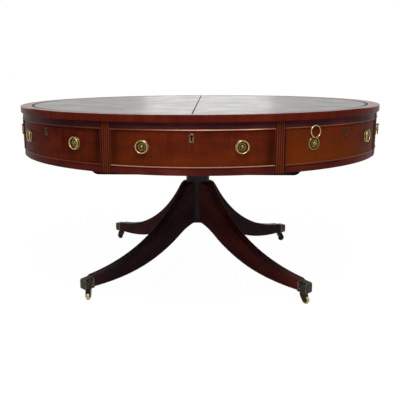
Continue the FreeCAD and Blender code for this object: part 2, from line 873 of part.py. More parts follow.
def bowed(start, start_angle, start_pull, end, end_angle, end_pull):
    """A cubic curve that falls outwards between two points, with its slope and the pull of its handle at each."""
    lead = math.radians(start_angle)
    trail = math.radians(end_angle)
    poles = [
        start,
        (start[0] + start_pull * math.cos(lead), start[1] - start_pull * math.sin(lead)),
        (end[0] - end_pull * math.cos(trail), end[1] + end_pull * math.sin(trail)),
        end,
    ]
    curve = Part.BezierCurve()
    curve.setPoles([FreeCAD.Vector(x, 0, z) for x, z in poles])
    return curve.toShape()


def leg_curves():
    """The leg's upper and lower edges, seen from the side, from inside the column to the ankle."""

    def size(alias):
        return cell(f"leg_{alias}").value

    surface = cell("column_radius").value
    heart = surface - cell("dovetail_depth").value
    reach = cell("cup_reach").value
    foot = cell("column_foot").value
    knee = (size("knee_reach"), size("knee_height"))
    hock = (size("hock_reach"), size("hock_height"))
    shoulder = (surface, size("shoulder_height"))
    knee_angle = size("knee_angle")
    hock_angle = size("hock_angle")
    ankle = (reach, cell("cup_heel_height").value + size("ankle_over"))
    sole = (reach, cell("cup_base_height").value + size("ankle_under"))
    upper = [
        level_edge(heart, *shoulder),
        bowed(shoulder, size("shoulder_angle"), size("shoulder_pull"), knee, knee_angle, size("shoulder_pull")),
        bowed(knee, knee_angle, size("knee_pull"), ankle, size("ankle_angle"), size("ankle_pull")),
    ]
    lower = [
        level_edge(heart, surface, foot),
        bowed((surface, foot), size("arch_angle"), size("arch_pull"), hock, hock_angle, size("arch_pull")),
        bowed(hock, hock_angle, size("hock_pull"), sole, size("sole_angle"), size("sole_pull")),
    ]
    return upper, lower


def level_edge(start, end, height):
    return Part.makeLine(FreeCAD.Vector(start, 0, height), FreeCAD.Vector(end, 0, height))


def make_leg():
    """A sabre leg: a swept side view, tapered in plan, reeded along its top edges and tenoned into the cup."""
    upper, lower = leg_curves()
    heart = cell("column_radius").value - cell("dovetail_depth").value
    reach = cell("cup_reach").value
    thick = cell("leg_thickness").value
    ankle = cell("leg_ankle_thickness").value
    heel = Part.makeLine(upper[-1].Vertexes[-1].Point, lower[-1].Vertexes[-1].Point)
    spine = Part.makeLine(upper[0].Vertexes[0].Point, lower[0].Vertexes[0].Point)
    side = Part.Face(Part.Wire(Part.__sortEdges__([*upper, heel, *lower, spine])))
    side.translate(FreeCAD.Vector(0, -thick, 0))
    blank = side.extrude(FreeCAD.Vector(0, 2 * thick, 0))
    tallest = cell("leg_shoulder_height").value + 1
    plan_points = [(heart, thick / 2), (reach, ankle / 2), (reach, -ankle / 2), (heart, -thick / 2)]
    plan_points = [FreeCAD.Vector(x, y, 0) for x, y in plan_points]
    plan = Part.Face(Part.makePolygon(plan_points + plan_points[:1]))
    leg = blank.common(plan.extrude(FreeCAD.Vector(0, 0, tallest)))

    # a quirk sunk beside each top edge leaves a narrow reed outside it
    taper = math.degrees(math.atan2((thick - ankle) / 2, reach - heart))
    sunk = Part.Wire(upper).copy()
    sunk.translate(FreeCAD.Vector(0, 0, -cell("leg_quirk_depth").value))
    ends = [vertex.Point for vertex in sunk.OrderedVertexes]
    over = [FreeCAD.Vector(point.x, 0, tallest) for point in (ends[-1], ends[0])]
    lid = Part.makePolygon([ends[-1], *over, ends[0]])
    waste = Part.Face(Part.Wire(Part.__sortEdges__([*sunk.Edges, *lid.Edges])))
    width = cell("leg_quirk_width").value
    near = thick / 2 - cell("leg_reed_width").value - width
    for sign in (1, -1):
        strip = waste.copy()
        strip.translate(FreeCAD.Vector(0, near if sign > 0 else -near - width, 0))
        quirk = strip.extrude(FreeCAD.Vector(0, width, 0))
        quirk.rotate(FreeCAD.Vector(heart, 0, 0), FreeCAD.Vector(0, 0, 1), -sign * taper)
        leg = leg.cut(quirk)

    column = Part.makeCylinder(cell("column_radius").value, tallest)
    leg = leg.cut(column)
    tenon = cup_hollow("leg_tenon", ZERO)
    tongue = dovetail("leg_tongue")
    doc.recompute()
    leg = leg.fuse([tenon.Shape, tongue.Shape]).removeSplitter()
    well_radius = cell("spindle_radius").value + cell("spindle_well_clearance").value
    well_top = cell("cup_base_height").value + cell("spindle_length").value + 2
    well = Part.makeCylinder(well_radius, well_top)
    well.translate(FreeCAD.Vector(castor_reach.value, 0, 0))
    piece = doc.addObject("Part::Feature", "leg")
    piece.Shape = leg.cut(well)
    return piece


# ---- toe cups and castors ----


def cup_hollow(name, lip):
    """What the leg's end fills inside a cup, run back by a lip's length."""
    wall = cell("cup_wall")
    start = cell("cup_reach") - lip
    end = cup_end - wall
    corners = [
        (start, cell("cup_base_height") + wall),
        (end, cell("cup_base_height") + wall),
        (end, cell("cup_toe_height") - wall),
        (start, cell("cup_heel_height") - wall),
    ]
    return padded(name, "XZ_Plane", corners, cell("cup_width") - wall * 2)


def make_cup():
    """A cast toe cup: a tapered hollow box, open at the heel, with a lip round its mouth."""
    base = cell("cup_base_height")
    lip = cell("cup_lip_stand")
    corners = [
        (cell("cup_reach"), base),
        (cup_end, base),
        (cup_end, cell("cup_toe_height")),
        (cell("cup_reach"), cell("cup_heel_height")),
    ]
    body = padded("toe_box", "XZ_Plane", corners, cell("cup_width"))

    def outer_edge(edge):
        """Edges of the toe end and along the top and its sides, but not round the mouth or under the cup."""
        points = [vertex.Point for vertex in edge.Vertexes]
        off_mouth = any(point.x > cell("cup_reach").value + 1e-6 for point in points)
        off_base = any(point.z > base.value + 1e-6 for point in points)
        return off_mouth and off_base

    round_edges(body, cell("cup_round"), outer_edge)
    lip_corners = [
        (cell("cup_reach"), base),
        (cell("cup_reach") + cell("cup_lip_length"), base),
        (cell("cup_reach") + cell("cup_lip_length"), cell("cup_heel_height") + lip),
        (cell("cup_reach"), cell("cup_heel_height") + lip),
    ]
    lip_board = padded("cup_lip", "XZ_Plane", lip_corners, cell("cup_width") + lip * 2)
    cast = fuse("cup_casting", [body, lip_board])
    hollow = cut("hollow_cup", cast, cup_hollow("cup_hollow", ZERO))
    bore = cylinder(
        "spindle_bore",
        cell("spindle_radius") + cell("spindle_clearance"),
        base,
        base + cell("cup_wall"),
        castor_reach,
    )
    return cut("toe_cup", hollow, bore)


def make_castor_horn():
    """A swivel horn: a spindle, a round seat under the cup, and two cheeks that hang behind it with the axle."""
    base = cell("cup_base_height").value
    seat_under = base - cell("swivel_thickness").value
    seat_radius = cell("swivel_radius").value
    trail = cell("castor_trail").value
    axle_height = cell("wheel_radius").value
    boss = cell("axle_boss_radius").value
    inner = cell("wheel_width").value + 2 * cell("wheel_side_gap").value
    outer = inner + 2 * cell("cheek_thickness").value
    across = FreeCAD.Vector(0, 1, 0)

    def at(x, z):
        return FreeCAD.Vector(x, -outer / 2, z)

    throat = at(seat_radius * 0.9 - seat_radius, seat_under)
    nape = at(-seat_radius * 0.85, seat_under)
    chin = at(seat_radius * 0.95, seat_under)
    heel = at(trail - boss * 0.7, axle_height - boss * 0.71)
    toe = at(trail + boss, axle_height)
    belly = (nape + heel) * 0.5 + FreeCAD.Vector(-seat_radius * 0.22, 0, -seat_radius * 0.22)
    brow = (chin + toe) * 0.5 + FreeCAD.Vector(seat_radius * 0.1, 0, seat_radius * 0.05)
    edges = [
        Part.makeLine(nape, chin),
        Part.Arc(chin, brow, toe).toShape(),
        Part.makeLine(toe, heel),
        Part.Arc(heel, belly, nape).toShape(),
    ]
    cheeks = Part.Face(Part.Wire(Part.__sortEdges__(edges))).extrude(across * outer)
    boss_round = Part.makeCylinder(boss, outer, at(trail, axle_height), across)
    seat = Part.makeCylinder(seat_radius, base - seat_under, FreeCAD.Vector(0, 0, seat_under))
    spindle_length = cell("spindle_length").value
    spindle = Part.makeCylinder(cell("spindle_radius").value, spindle_length, FreeCAD.Vector(0, 0, base))
    horn = cheeks.fuse([boss_round, seat, spindle])
    well_radius = axle_height + cell("wheel_well_gap").value
    well = Part.makeCylinder(well_radius, inner, FreeCAD.Vector(trail, -inner / 2, axle_height), across)
    open_end = Part.makeBox(4 * seat_radius, inner, axle_height, FreeCAD.Vector(-2 * seat_radius, -inner / 2, 0))
    axle_hole = Part.makeCylinder(cell("axle_radius").value, outer, at(trail, axle_height), across)
    horn = horn.cut([well, open_end, axle_hole]).removeSplitter()
    axle = Part.makeCylinder(cell("axle_radius").value, outer, at(trail, axle_height), across)
    piece = doc.addObject("Part::Feature", "castor_horn")
    piece.Shape = Part.makeCompound([horn, axle])
    return piece


def make_castor_wheel():
    """A turned wheel with dished sides, a hub and a rounded tread."""
    half = cell("wheel_width") / 2
    radius = cell("wheel_radius")
    bore = cell("axle_radius") + cell("axle_clearance")
    rim = radius - cell("wheel_rim")
    shoulder = radius - cell("wheel_shoulder_drop")
    tread = cell("wheel_tread_width") / 2
    dish = half - cell("wheel_dish")
    # from the tread outwards and in to the bore; the other side is its mirror image
    side = [
        (tread, radius),
        (half, shoulder),
        (half, rim),
        (dish, cell("wheel_hub_radius")),
        (half, cell("wheel_hub_radius") - cell("wheel_hub_bevel")),
        (half, bore),
    ]
    mirrored = [(-across, height) for across, height in reversed(side)]
    body = revolved("castor_wheel", side + mirrored, plane="YZ_Plane", axis="Y_Axis")
    return put_at(body, cell("castor_trail"), ZERO, radius)


def make_pedestal():
    """Column, legs, cups, block and pivot, then the castors at the places that they are left in."""
    half_turn = Size(360.0, "360") / cell("leg_count") / 2
    corners = steps_round(cell("leg_count"), half_turn - Size(90.0, "90"))
    leg = make_leg()
    nodes = [make_column(), make_table_block(), make_pivot()]
    places = ("front_right", "rear_right", "rear_left", "front_left")
    for place, angle in zip(places, corners):
        nodes.append(turned(f"leg_{place}", leg, angle))
    nodes.append(turned_about("toe_cups", make_cup(), corners))
    horn = make_castor_horn()
    wheel = make_castor_wheel()
    for place, angle in zip(places, corners):
        heading = math.radians(angle.value)
        reach = castor_reach.value
        spot = FreeCAD.Vector(reach * math.cos(heading), reach * math.sin(heading), 0)
        facing = FreeCAD.Rotation(FreeCAD.Vector(0, 0, 1), cell(f"castor_heading_{place}").value)
        for kind, source in (("horn", horn), ("wheel", wheel)):
            copy = doc.addObject("App::Link", f"castor_{kind}_{place}")
            copy.LinkedObject = source
            copy.LinkTransform = True
            copy.Placement = FreeCAD.Placement(spot, facing)
            nodes.append(copy)
    return nodes


# ---- the whole table ----


def check(nodes):
    """Stops at a failed object, or at a node that is empty or not valid."""
    for item in doc.Objects:
        if any(state in ("Invalid", "Error") for state in item.State):
            raise RuntimeError(f"{item.Label} failed: {item.State}")
    for node in nodes:
        shape = Part.getShape(node)
        if shape.isNull() or not shape.Solids or not shape.isValid():
            raise RuntimeError(f"{node.Label} has no valid solid")


nodes = [*make_top(), *make_carcase(), *make_fronts(), *make_bearers(), *make_pedestal()]
doc.recompute()
check(nodes)
os.makedirs("parts", exist_ok=True)
for node in nodes:
    Part.getShape(node).exportStep(os.path.join("parts", f"{node.Label}.step"))
print(len(nodes), "nodes")
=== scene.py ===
import math

import bmesh
import bpy
from mathutils import Matrix, Vector


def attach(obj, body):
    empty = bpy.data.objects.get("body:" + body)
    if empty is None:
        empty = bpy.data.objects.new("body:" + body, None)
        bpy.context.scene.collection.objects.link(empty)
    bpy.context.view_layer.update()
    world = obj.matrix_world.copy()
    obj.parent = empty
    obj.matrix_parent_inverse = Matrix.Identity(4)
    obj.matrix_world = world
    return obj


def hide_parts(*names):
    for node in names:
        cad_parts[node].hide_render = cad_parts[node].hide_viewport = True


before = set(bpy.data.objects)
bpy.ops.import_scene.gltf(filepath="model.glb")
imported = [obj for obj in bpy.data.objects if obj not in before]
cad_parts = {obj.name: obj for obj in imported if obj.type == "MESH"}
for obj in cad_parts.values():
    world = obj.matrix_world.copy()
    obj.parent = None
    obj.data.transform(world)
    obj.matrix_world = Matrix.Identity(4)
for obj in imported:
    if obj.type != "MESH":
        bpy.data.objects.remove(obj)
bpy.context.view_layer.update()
scene = bpy.context.scene
scene.view_settings.view_transform = "Standard"


# ---- Camera ----
# Stands a little higher than the table's top, almost square to the front drawer, and looks down at the feet.
# It is aimed 0.1 m to the left of the column, and a small sideways shift of the lens brings the table back.
SIDE_STEP = 0.02663
HEADING = SIDE_STEP + 0.03989
LOOK_DOWN = 0.22154
ROLL = -0.00688
STAND_OFF, STAND_HEIGHT = 2.5822, 0.8989
camera_data = bpy.data.cameras.new("camera")
camera_data.sensor_width = 36.0
camera_data.lens = 51.66
camera_data.shift_x = 0.06154
camera = bpy.data.objects.new("camera", camera_data)
camera_spot = Vector((STAND_OFF * math.sin(SIDE_STEP), -STAND_OFF * math.cos(SIDE_STEP), STAND_HEIGHT))
camera_place = Matrix.Translation(camera_spot)
for angle, axis in ((HEADING, "Z"), (math.pi / 2 - LOOK_DOWN, "X"), (ROLL, "Z")):
    camera_place @= Matrix.Rotation(angle, 4, axis)
camera.matrix_world = camera_place
scene.collection.objects.link(camera)
scene.camera = camera


# ---- Room ----
# A pale floor that runs out to a white room, one broad soft lamp high in front and a weak one behind.
# The white is there for the eye and for what the polish mirrors, and casts far less light on the table.


def add(tree, kind, inputs=None, **settings):
    """Adds a node with its settings, values and links."""
    node = tree.nodes.new(kind)
    for name, value in settings.items():
        setattr(node, name, value)
    for name, value in (inputs or {}).items():
        if isinstance(value, bpy.types.NodeSocket):
            tree.links.new(value, node.inputs[name])
        else:
            node.inputs[name].default_value = value
    return node


def maths(tree, operation, *values):
    """One step of arithmetic."""
    return add(tree, "ShaderNodeMath", dict(enumerate(values)), operation=operation).outputs[0]


def vectors(tree, operation, *values):
    """One step of vector arithmetic, which gives a number for a length and else a vector."""
    node = add(tree, "ShaderNodeVectorMath", dict(enumerate(values)), operation=operation)
    return node.outputs["Value" if operation == "LENGTH" else "Vector"]


def spread(tree, amount, low, high, new_low, new_high):
    """Stretches the part of a value between low and high to a new range."""
    stretch = {"Value": amount, "From Min": low, "From Max": high, "To Min": new_low, "To Max": new_high}
    return add(tree, "ShaderNodeMapRange", stretch).outputs["Result"]


def colour(written):
    """The linear colour of an sRGB hex value."""
    parts = [int(written[n : n + 2], 16) / 255 for n in (1, 3, 5)]
    return (*[p / 12.92 if p <= 0.04045 else ((p + 0.055) / 1.055) ** 2.4 for p in parts], 1.0)


def seen_by_eye(tree):
    """1 for camera rays and for what polished metal mirrors, 0 for the light that falls on the table."""
    path = add(tree, "ShaderNodeLightPath").outputs
    either = maths(tree, "MAXIMUM", path["Is Camera Ray"], path["Is Glossy Ray"])
    return maths(tree, "MAXIMUM", either, path["Is Transmission Ray"])


def mesh_object(name, mesh):
    piece = bpy.data.objects.new(name, mesh)
    scene.collection.objects.link(piece)
    return piece


world = bpy.data.worlds.new("studio_air")
scene.world = world
world.use_nodes = True
air = world.node_tree
air.nodes.clear()
air_fill = add(air, "ShaderNodeBackground", {"Color": colour("#fffdf9"), "Strength": 0.24}).outputs[0]
air_white = add(air, "ShaderNodeBackground", {"Color": (1.0, 1.0, 1.0, 1.0), "Strength": 1.0}).outputs[0]
air_mix = add(air, "ShaderNodeMixShader", {0: seen_by_eye(air), 1: air_fill, 2: air_white})
add(air, "ShaderNodeOutputWorld", {"Surface": air_mix.outputs[0]})

floor_paint = bpy.data.materials.new("pale_floor")
floor_paint.use_nodes = True
paint = floor_paint.node_tree
paint.nodes.clear()
floor_matt = add(paint, "ShaderNodeBsdfDiffuse", {"Color": colour("#e9e7e3")}).outputs[0]
floor_white = add(paint, "ShaderNodeEmission", {"Strength": 1.06}).outputs[0]
# the painted white gives way a little near the table, where its shadow falls
floor_reach = vectors(paint, "LENGTH", add(paint, "ShaderNodeTexCoord").outputs["Object"])
floor_fade = spread(paint, floor_reach, 0.9, 3.0, 0.925, 0.95)
floor_share = maths(paint, "MULTIPLY", seen_by_eye(paint), floor_fade)
floor_mix = add(paint, "ShaderNodeMixShader", {0: floor_share, 1: floor_matt, 2: floor_white})
add(paint, "ShaderNodeOutputMaterial", {"Surface": floor_mix.outputs[0]})
FLOOR_REACH = 40.0
floor_corners = [(x * FLOOR_REACH, y * FLOOR_REACH, 0.0) for x, y in ((-1, -1), (1, -1), (1, 1), (-1, 1))]
floor_mesh = bpy.data.meshes.new("floor")
floor_mesh.from_pydata(floor_corners, [], [(0, 1, 2, 3)])
floor_mesh.materials.append(floor_paint)
mesh_object("floor", floor_mesh)

LAMPS_AIM = Vector((0.0, 0.0, 0.6))
for lamp_name, spot, watts, breadth, depth in (
    ("key_lamp", (0.2, -1.85, 3.0), 86.0, 1.1, 1.1),
    ("back_lamp", (0.0, 4.2, 1.9), 9.0, 1.5, 2.4),
):
    lamp_data = bpy.data.lights.new(lamp_name, "AREA")
    lamp_data.energy = watts
    lamp_data.shape = "RECTANGLE"
    lamp_data.size = breadth
    lamp_data.size_y = depth
    lamp = bpy.data.objects.new(lamp_name, lamp_data)
    aim = (LAMPS_AIM - Vector(spot)).to_track_quat("-Z", "Y").to_matrix().to_4x4()
    lamp.matrix_world = Matrix.Translation(spot) @ aim
    scene.collection.objects.link(lamp)


# ---- Column ----
# A plain turned shaft of solid mahogany, with the legs dovetailed into its foot and a tenon on its top.
# Mahogany: red-brown, with fine dark pores drawn out along the grain and a deep shellac polish.
MM = 0.001
COLUMN_RADIUS, COLUMN_FOOT = 52.5, 222
BLOCK_LOW, BLOCK_HIGH, TENON_RADIUS = 468, 506, 30
# grain that runs outwards or round is measured along the edge of the top
TOP_RADIUS = 762
# the legs' planks lie along the line from shoulder to toe, which falls by about 25 degrees
PLANK_FALL = 0.466


def vector_of(tree, *parts):
    return add(tree, "ShaderNodeCombineXYZ", dict(enumerate(parts))).outputs[0]


def parts_of(tree, vector):
    return add(tree, "ShaderNodeSeparateXYZ", {0: vector}).outputs


def grain_place(tree, run):
    """Where a point lies, in millimetres, for grain that runs straight, outwards, round or along a leg."""
    place = vectors(tree, "MULTIPLY", add(tree, "ShaderNodeTexCoord").outputs["Object"], (1000, 1000, 1000))
    if run in ("up", "right", "back"):
        return place
    x, y, z = parts_of(tree, place)
    flat = vector_of(tree, x, y)
    reach = vectors(tree, "LENGTH", flat)
    if run == "leg":
        aside = maths(tree, "SUBTRACT", maths(tree, "ABSOLUTE", x), maths(tree, "ABSOLUTE", y))
        return vector_of(tree, aside, maths(tree, "MULTIPLY_ADD", reach, PLANK_FALL, z), reach)
    girth = vectors(tree, "MULTIPLY", vectors(tree, "NORMALIZE", flat), (TOP_RADIUS,) * 3)
    turn = parts_of(tree, girth)
    return vector_of(tree, turn[0], turn[1], reach if run == "out" else z)


GRAIN_AXES = {"up": "z", "out": "z", "leg": "z", "round": "xy", "right": "x", "back": "y"}


def streaks(tree, place, run, across, along, detail=2.0):
    """Cloudy noise drawn out along the grain, with its size across and along in millimetres."""
    stretch = [1 / (along if axis in GRAIN_AXES[run] else across) for axis in "xyz"]
    scaled = vectors(tree, "MULTIPLY", place, stretch)
    return add(tree, "ShaderNodeTexNoise", {"Vector": scaled, "Scale": 1.0, "Detail": detail}).outputs["Fac"]


def shades(tree, amount, stops):
    """A colour ramp through hex colours at their places."""
    ramp = add(tree, "ShaderNodeValToRGB", {"Fac": amount})
    while len(ramp.color_ramp.elements) < len(stops):
        ramp.color_ramp.elements.new(0.5)
    for element, (place, written) in zip(ramp.color_ramp.elements, stops):
        element.position = place
        element.color = colour(written)
    return ramp.outputs["Color"]


def blended(tree, share, first, written):
    """A colour mixed with a hex colour by a share."""
    mix = {"Factor": share, 6: first, 7: colour(written)}
    return add(tree, "ShaderNodeMix", mix, data_type="RGBA").outputs[2]


def marked(tree, name):
    """A value that a mesh carries on its corners under a name."""
    return add(tree, "ShaderNodeAttribute", attribute_name=name).outputs["Fac"]


def new_finish(name, shader):
    """A material with a Principled shader, its constant values set on the shader's own sockets."""
    material = bpy.data.materials.new(name)
    material.use_nodes = True
    tree = material.node_tree
    tree.nodes.clear()
    surface = add(tree, "ShaderNodeBsdfPrincipled", shader)
    add(tree, "ShaderNodeOutputMaterial", {"Surface": surface.outputs[0]})
    return material, tree, surface


def dress(tree, surface, base, roughness, relief=None, strength=0.15, depth=0.0002, sunk=False):
    """Links a shader's colour, its roughness and a fine relief, raised or sunk."""
    tree.links.new(base, surface.inputs["Base Color"])
    tree.links.new(roughness, surface.inputs["Roughness"])
    if relief is not None:
        heights = {"Strength": strength, "Distance": depth, "Height": relief}
        bump = add(tree, "ShaderNodeBump", heights, invert=sunk)
        tree.links.new(bump.outputs[0], surface.inputs["Normal"])


def polished_mahogany(
    name, run, dark, middle, light, golden="#8f4a1c", polish=0.30, gloss=0.013, curl=0.0, wear_and_highlight=None
):
    """Mahogany under shellac polish, its grain running one way, with a curl across it and a dull share."""
    # shellac has an IOR of 1.52, but two centuries of wax have dulled it to a satin
    material, tree, surface = new_finish(name, {"IOR": 1.5, "Specular IOR Level": gloss})
    place = grain_place(tree, run)
    drift = streaks(tree, place, run, 55, 130)
    ribbon = streaks(tree, place, run, 9, 110, 3.0)
    # real pores are 0.2 mm wide and 3 mm long; they are drawn 0.8 by 14 mm so that they show
    pores = streaks(tree, place, run, 0.8, 14, 1.0)
    figure = maths(tree, "MULTIPLY_ADD", ribbon, 0.22, maths(tree, "MULTIPLY", drift, 0.78))
    if curl:
        flames = maths(tree, "SUBTRACT", streaks(tree, place, "up", 13, 70, 1.0), 0.5)
        figure = maths(tree, "MULTIPLY_ADD", flames, curl, figure)
    wood = shades(tree, figure, [(0.34, dark), (0.5, middle), (0.66, light)])
    # the golden tone: partly the veneer's own, partly painted light and highlights that the pieces lay on
    wood = blended(tree, marked(tree, "tone"), wood, golden)
    # painted shade, which the pieces lay on at their ends, along beads and in quirks
    wood = blended(tree, marked(tree, "painted_shade"), wood, "#1a0705")
    wood = blended(tree, spread(tree, pores, 0.56, 0.72, 0.0, 0.3), wood, "#1c0806")
    roughness = spread(tree, ribbon, 0.3, 0.7, polish - 0.03, polish + 0.05)
    dress(tree, surface, wood, roughness, pores, sunk=True)
    if wear_and_highlight:
        dulled = spread(tree, wear_and_highlight(tree), 0.0, 1.0, gloss, 0.0)
        tree.links.new(dulled, surface.inputs["Specular IOR Level"])
    return material


def softened(corners, steps=4):
    """A closed outline with its corners rounded, each corner a pair of places and a radius."""
    points = []
    for n, (x, y, radius) in enumerate(corners):
        here = Vector((x, y))
        if not radius:
            points.append((x, y))
            continue
        before = (Vector(corners[n - 1][:2]) - here).normalized()
        after = (Vector(corners[(n + 1) % len(corners)][:2]) - here).normalized()
        half = before.angle(after) / 2
        middle = here + (before + after).normalized() * radius / math.sin(half)
        start = here + before * radius / math.tan(half) - middle
        end = here + after * radius / math.tan(half) - middle
        for step in range(steps + 1):
            point = middle + start.lerp(end, step / steps).normalized() * radius
            points.append((point.x, point.y))
    return points


def spot_at(radius, turn, height):
    """A place from its distance from the table's axis, its turn in radians and its height."""
    return Vector((radius * math.cos(turn), radius * math.sin(turn), height)) * MM


def layer_of(shape, name):
    """The layer of a mesh that carries a value under a name."""
    return shape.verts.layers.float.get(name) or shape.verts.layers.float.new(name)


def even_shading(piece):
    """Keeps a broad face flat up to the eased edge beside it."""
    even = piece.modifiers.new("even_shading", "WEIGHTED_NORMAL")
    even.keep_sharp = True
    even.weight = 60


def finished(name, shape, material, hard=35):
    """A mesh made into a piece with smooth shading that breaks at hard edges."""
    bmesh.ops.recalc_face_normals(shape, faces=shape.faces)
    mesh = bpy.data.meshes.new(name)
    shape.to_mesh(mesh)
    shape.free()
    mesh.materials.append(material)
    mesh.shade_smooth()
    mesh.set_sharp_from_angle(angle=math.radians(hard))
    piece = mesh_object(name, mesh)
    even_shading(piece)
    return piece


def turned_shape(profile, steps, shape=None, place=None, recess=None):
    """Spins an outline of (radius, height) points, in millimetres, about the upright axis."""
    shape = shape or bmesh.new()
    place = place or Matrix.Identity(4)
    layer = layer_of(shape, "recess")
    rings = []
    for n, (radius, height) in enumerate(profile):
        ring = []
        for step in range(1 if radius < 1e-6 else steps):
            corner = shape.verts.new(place @ spot_at(radius, 2 * math.pi * step / steps, height))
            corner[layer] = recess[n] if recess else 0.0
            ring.append(corner)
        rings.append(ring)
    pairs = list(zip(rings, rings[1:]))
    if len(rings[0]) > 1:
        pairs.append((rings[-1], rings[0]))
    for low, high in pairs:
        for here in range(steps):
            there = (here + 1) % steps
            ways = ((low, here), (low, there), (high, there), (high, here))
            # a ring that has closed to a point gives the same corner twice
            loop = list(dict.fromkeys(ring[n % len(ring)] for ring, n in ways))
            if len(loop) > 2:
                shape.faces.new(loop)
    return shape


def set_in_place(piece, body, slot, *nodes):
    """Rides a piece on a body, in the stead of the solids that it stands for. Its slot is not used."""
    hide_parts(*nodes)
    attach(piece, body)


DULL = {"polish": 0.36, "gloss": 0.04}
column_mahogany = polished_mahogany("column_mahogany", "up", "#2c2328", "#3a2f36", "#463b42", **DULL)
column_outline = [(0, COLUMN_FOOT, 0), (COLUMN_RADIUS, COLUMN_FOOT, 2), (COLUMN_RADIUS, BLOCK_LOW, 0)]
column_outline += [(TENON_RADIUS, BLOCK_LOW, 0), (TENON_RADIUS, BLOCK_HIGH, 1), (0, BLOCK_HIGH, 0)]
column = finished("column_shaft", turned_shape(softened(column_outline), 96), column_mahogany)
set_in_place(column, "pedestal", "mahogany_leg", "column")


# ---- Table block ----
# The thick round block on the column's top, on which the bearer frame turns.
# Solid mahogany, turned, with its underside bevelled.
BLOCK_RADIUS, BLOCK_BEVEL = 150, 12
block_outline = [
    (TENON_RADIUS, BLOCK_LOW, 0),
    (BLOCK_RADIUS - BLOCK_BEVEL, BLOCK_LOW, 4),
    (BLOCK_RADIUS, BLOCK_LOW + BLOCK_BEVEL, 4),
    (BLOCK_RADIUS, BLOCK_HIGH, 1),
    (TENON_RADIUS, BLOCK_HIGH, 0),
]
block_mahogany = polished_mahogany("block_mahogany", "up", "#332022", "#42292b", "#503335", **DULL)
table_block = finished("turning_block", turned_shape(softened(block_outline), 128), block_mahogany)
set_in_place(table_block, "pedestal", "mahogany_leg", "table_block")


# ---- Pivot pin ----
# A forged iron pin with a washer and a nut, dull black and a bit rusted.
# It holds the drum to the column, from the table block up into the pivot block.


def dull_black(name, shader, size, detail, stops, rough):
    """Black with patches of a size in millimetres, and with a range of roughness that follows them."""
    material, tree, surface = new_finish(name, shader)
    patches = streaks(tree, grain_place(tree, "up"), "up", size, size, detail)
    dress(tree, surface, shades(tree, patches, stops), spread(tree, patches, 0.3, 0.7, *rough))
    return material


rust = [(0.4, "#2b2a29"), (0.6, "#47413c"), (0.7, "#5a3c2a")]
iron = dull_black("black_iron", {"Metallic": 1.0}, 9, 4.0, rust, (0.45, 0.7))


def repaint(node, material):
    """Gives a solid that is shown as it is its finish, in its own material slots."""
    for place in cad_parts[node].material_slots:
        place.material = material


repaint("pivot_pin", iron)


# ---- Legs ----
# Four sabre legs sawn from solid mahogany, with a narrow reed and a quirk worked along both top edges.
# Each is dovetailed into the column's foot and narrows towards the toe, where a brass cup covers its end.
LEG_HEADINGS = {"front_right": -45, "rear_right": 45, "rear_left": 135, "front_left": -135}
LEG_SHOULDER, CUP_MOUTH = 409, 590
# the legs run on into the column, and are thickest where their dovetails start
LEG_START, TAPER_START = 40, 36.5
LEG_HALF, LEG_HALF_LOSS = 28, 6


def turned(degrees, axis="Z"):
    return Matrix.Rotation(math.radians(degrees), 4, axis)


def skinned(shape, loops, ring=False):
    """Joins cross-sections by faces, and closes the two ends or joins them to a ring."""
    for near, far in zip(loops, loops[1:] + loops[: int(ring)]):
        for n in range(len(near)):
            shape.faces.new((near[n - 1], near[n], far[n], far[n - 1]))
    if not ring:
        shape.faces.new(loops[0])
        shape.faces.new(loops[-1])
    return shape


def bowed_run(start, start_angle, start_pull, end, end_angle, end_pull, steps):
    """Points on a curve that falls outwards between two points, with its slope and pull at each end."""
    lead, trail = math.radians(start_angle), math.radians(end_angle)
    handles = [
        Vector(start),
        Vector((start[0] + start_pull * math.cos(lead), start[1] - start_pull * math.sin(lead))),
        Vector((end[0] - end_pull * math.cos(trail), end[1] + end_pull * math.sin(trail))),
        Vector(end),
    ]
    run = []
    for step in range(steps + 1):
        t = step / steps
        weights = ((1 - t) ** 3, 3 * t * (1 - t) ** 2, 3 * t * t * (1 - t), t**3)
        run.append(sum((handle * weight for handle, weight in zip(handles, weights)), Vector((0, 0))))
    return run


def even_steps(points, count):
    """The same line again as count equal steps."""
    lengths = [0.0]
    for here, there in zip(points, points[1:]):
        lengths.append(lengths[-1] + (there - here).length)
    line = []
    for step in range(count + 1):
        wanted = lengths[-1] * step / count
        n = next(i for i in range(1, len(lengths)) if lengths[i] >= wanted - 1e-9)
        share = (wanted - lengths[n - 1]) / (lengths[n] - lengths[n - 1])
        line.append(points[n - 1].lerp(points[n], share))
    return line


# the legs' golden colour is that of the painted highlight on the crests and the painted light at the knees
LEG_FINISH = {"golden": "#a5857a", "polish": 0.36, "gloss": 0.03}
dark_leg_wood = polished_mahogany("leg_mahogany", "leg", "#221316", "#2e191b", "#3a1f21", **LEG_FINISH)
red_leg_wood = polished_mahogany("red_leg_mahogany", "leg", "#371212", "#471917", "#57201c", **LEG_FINISH)


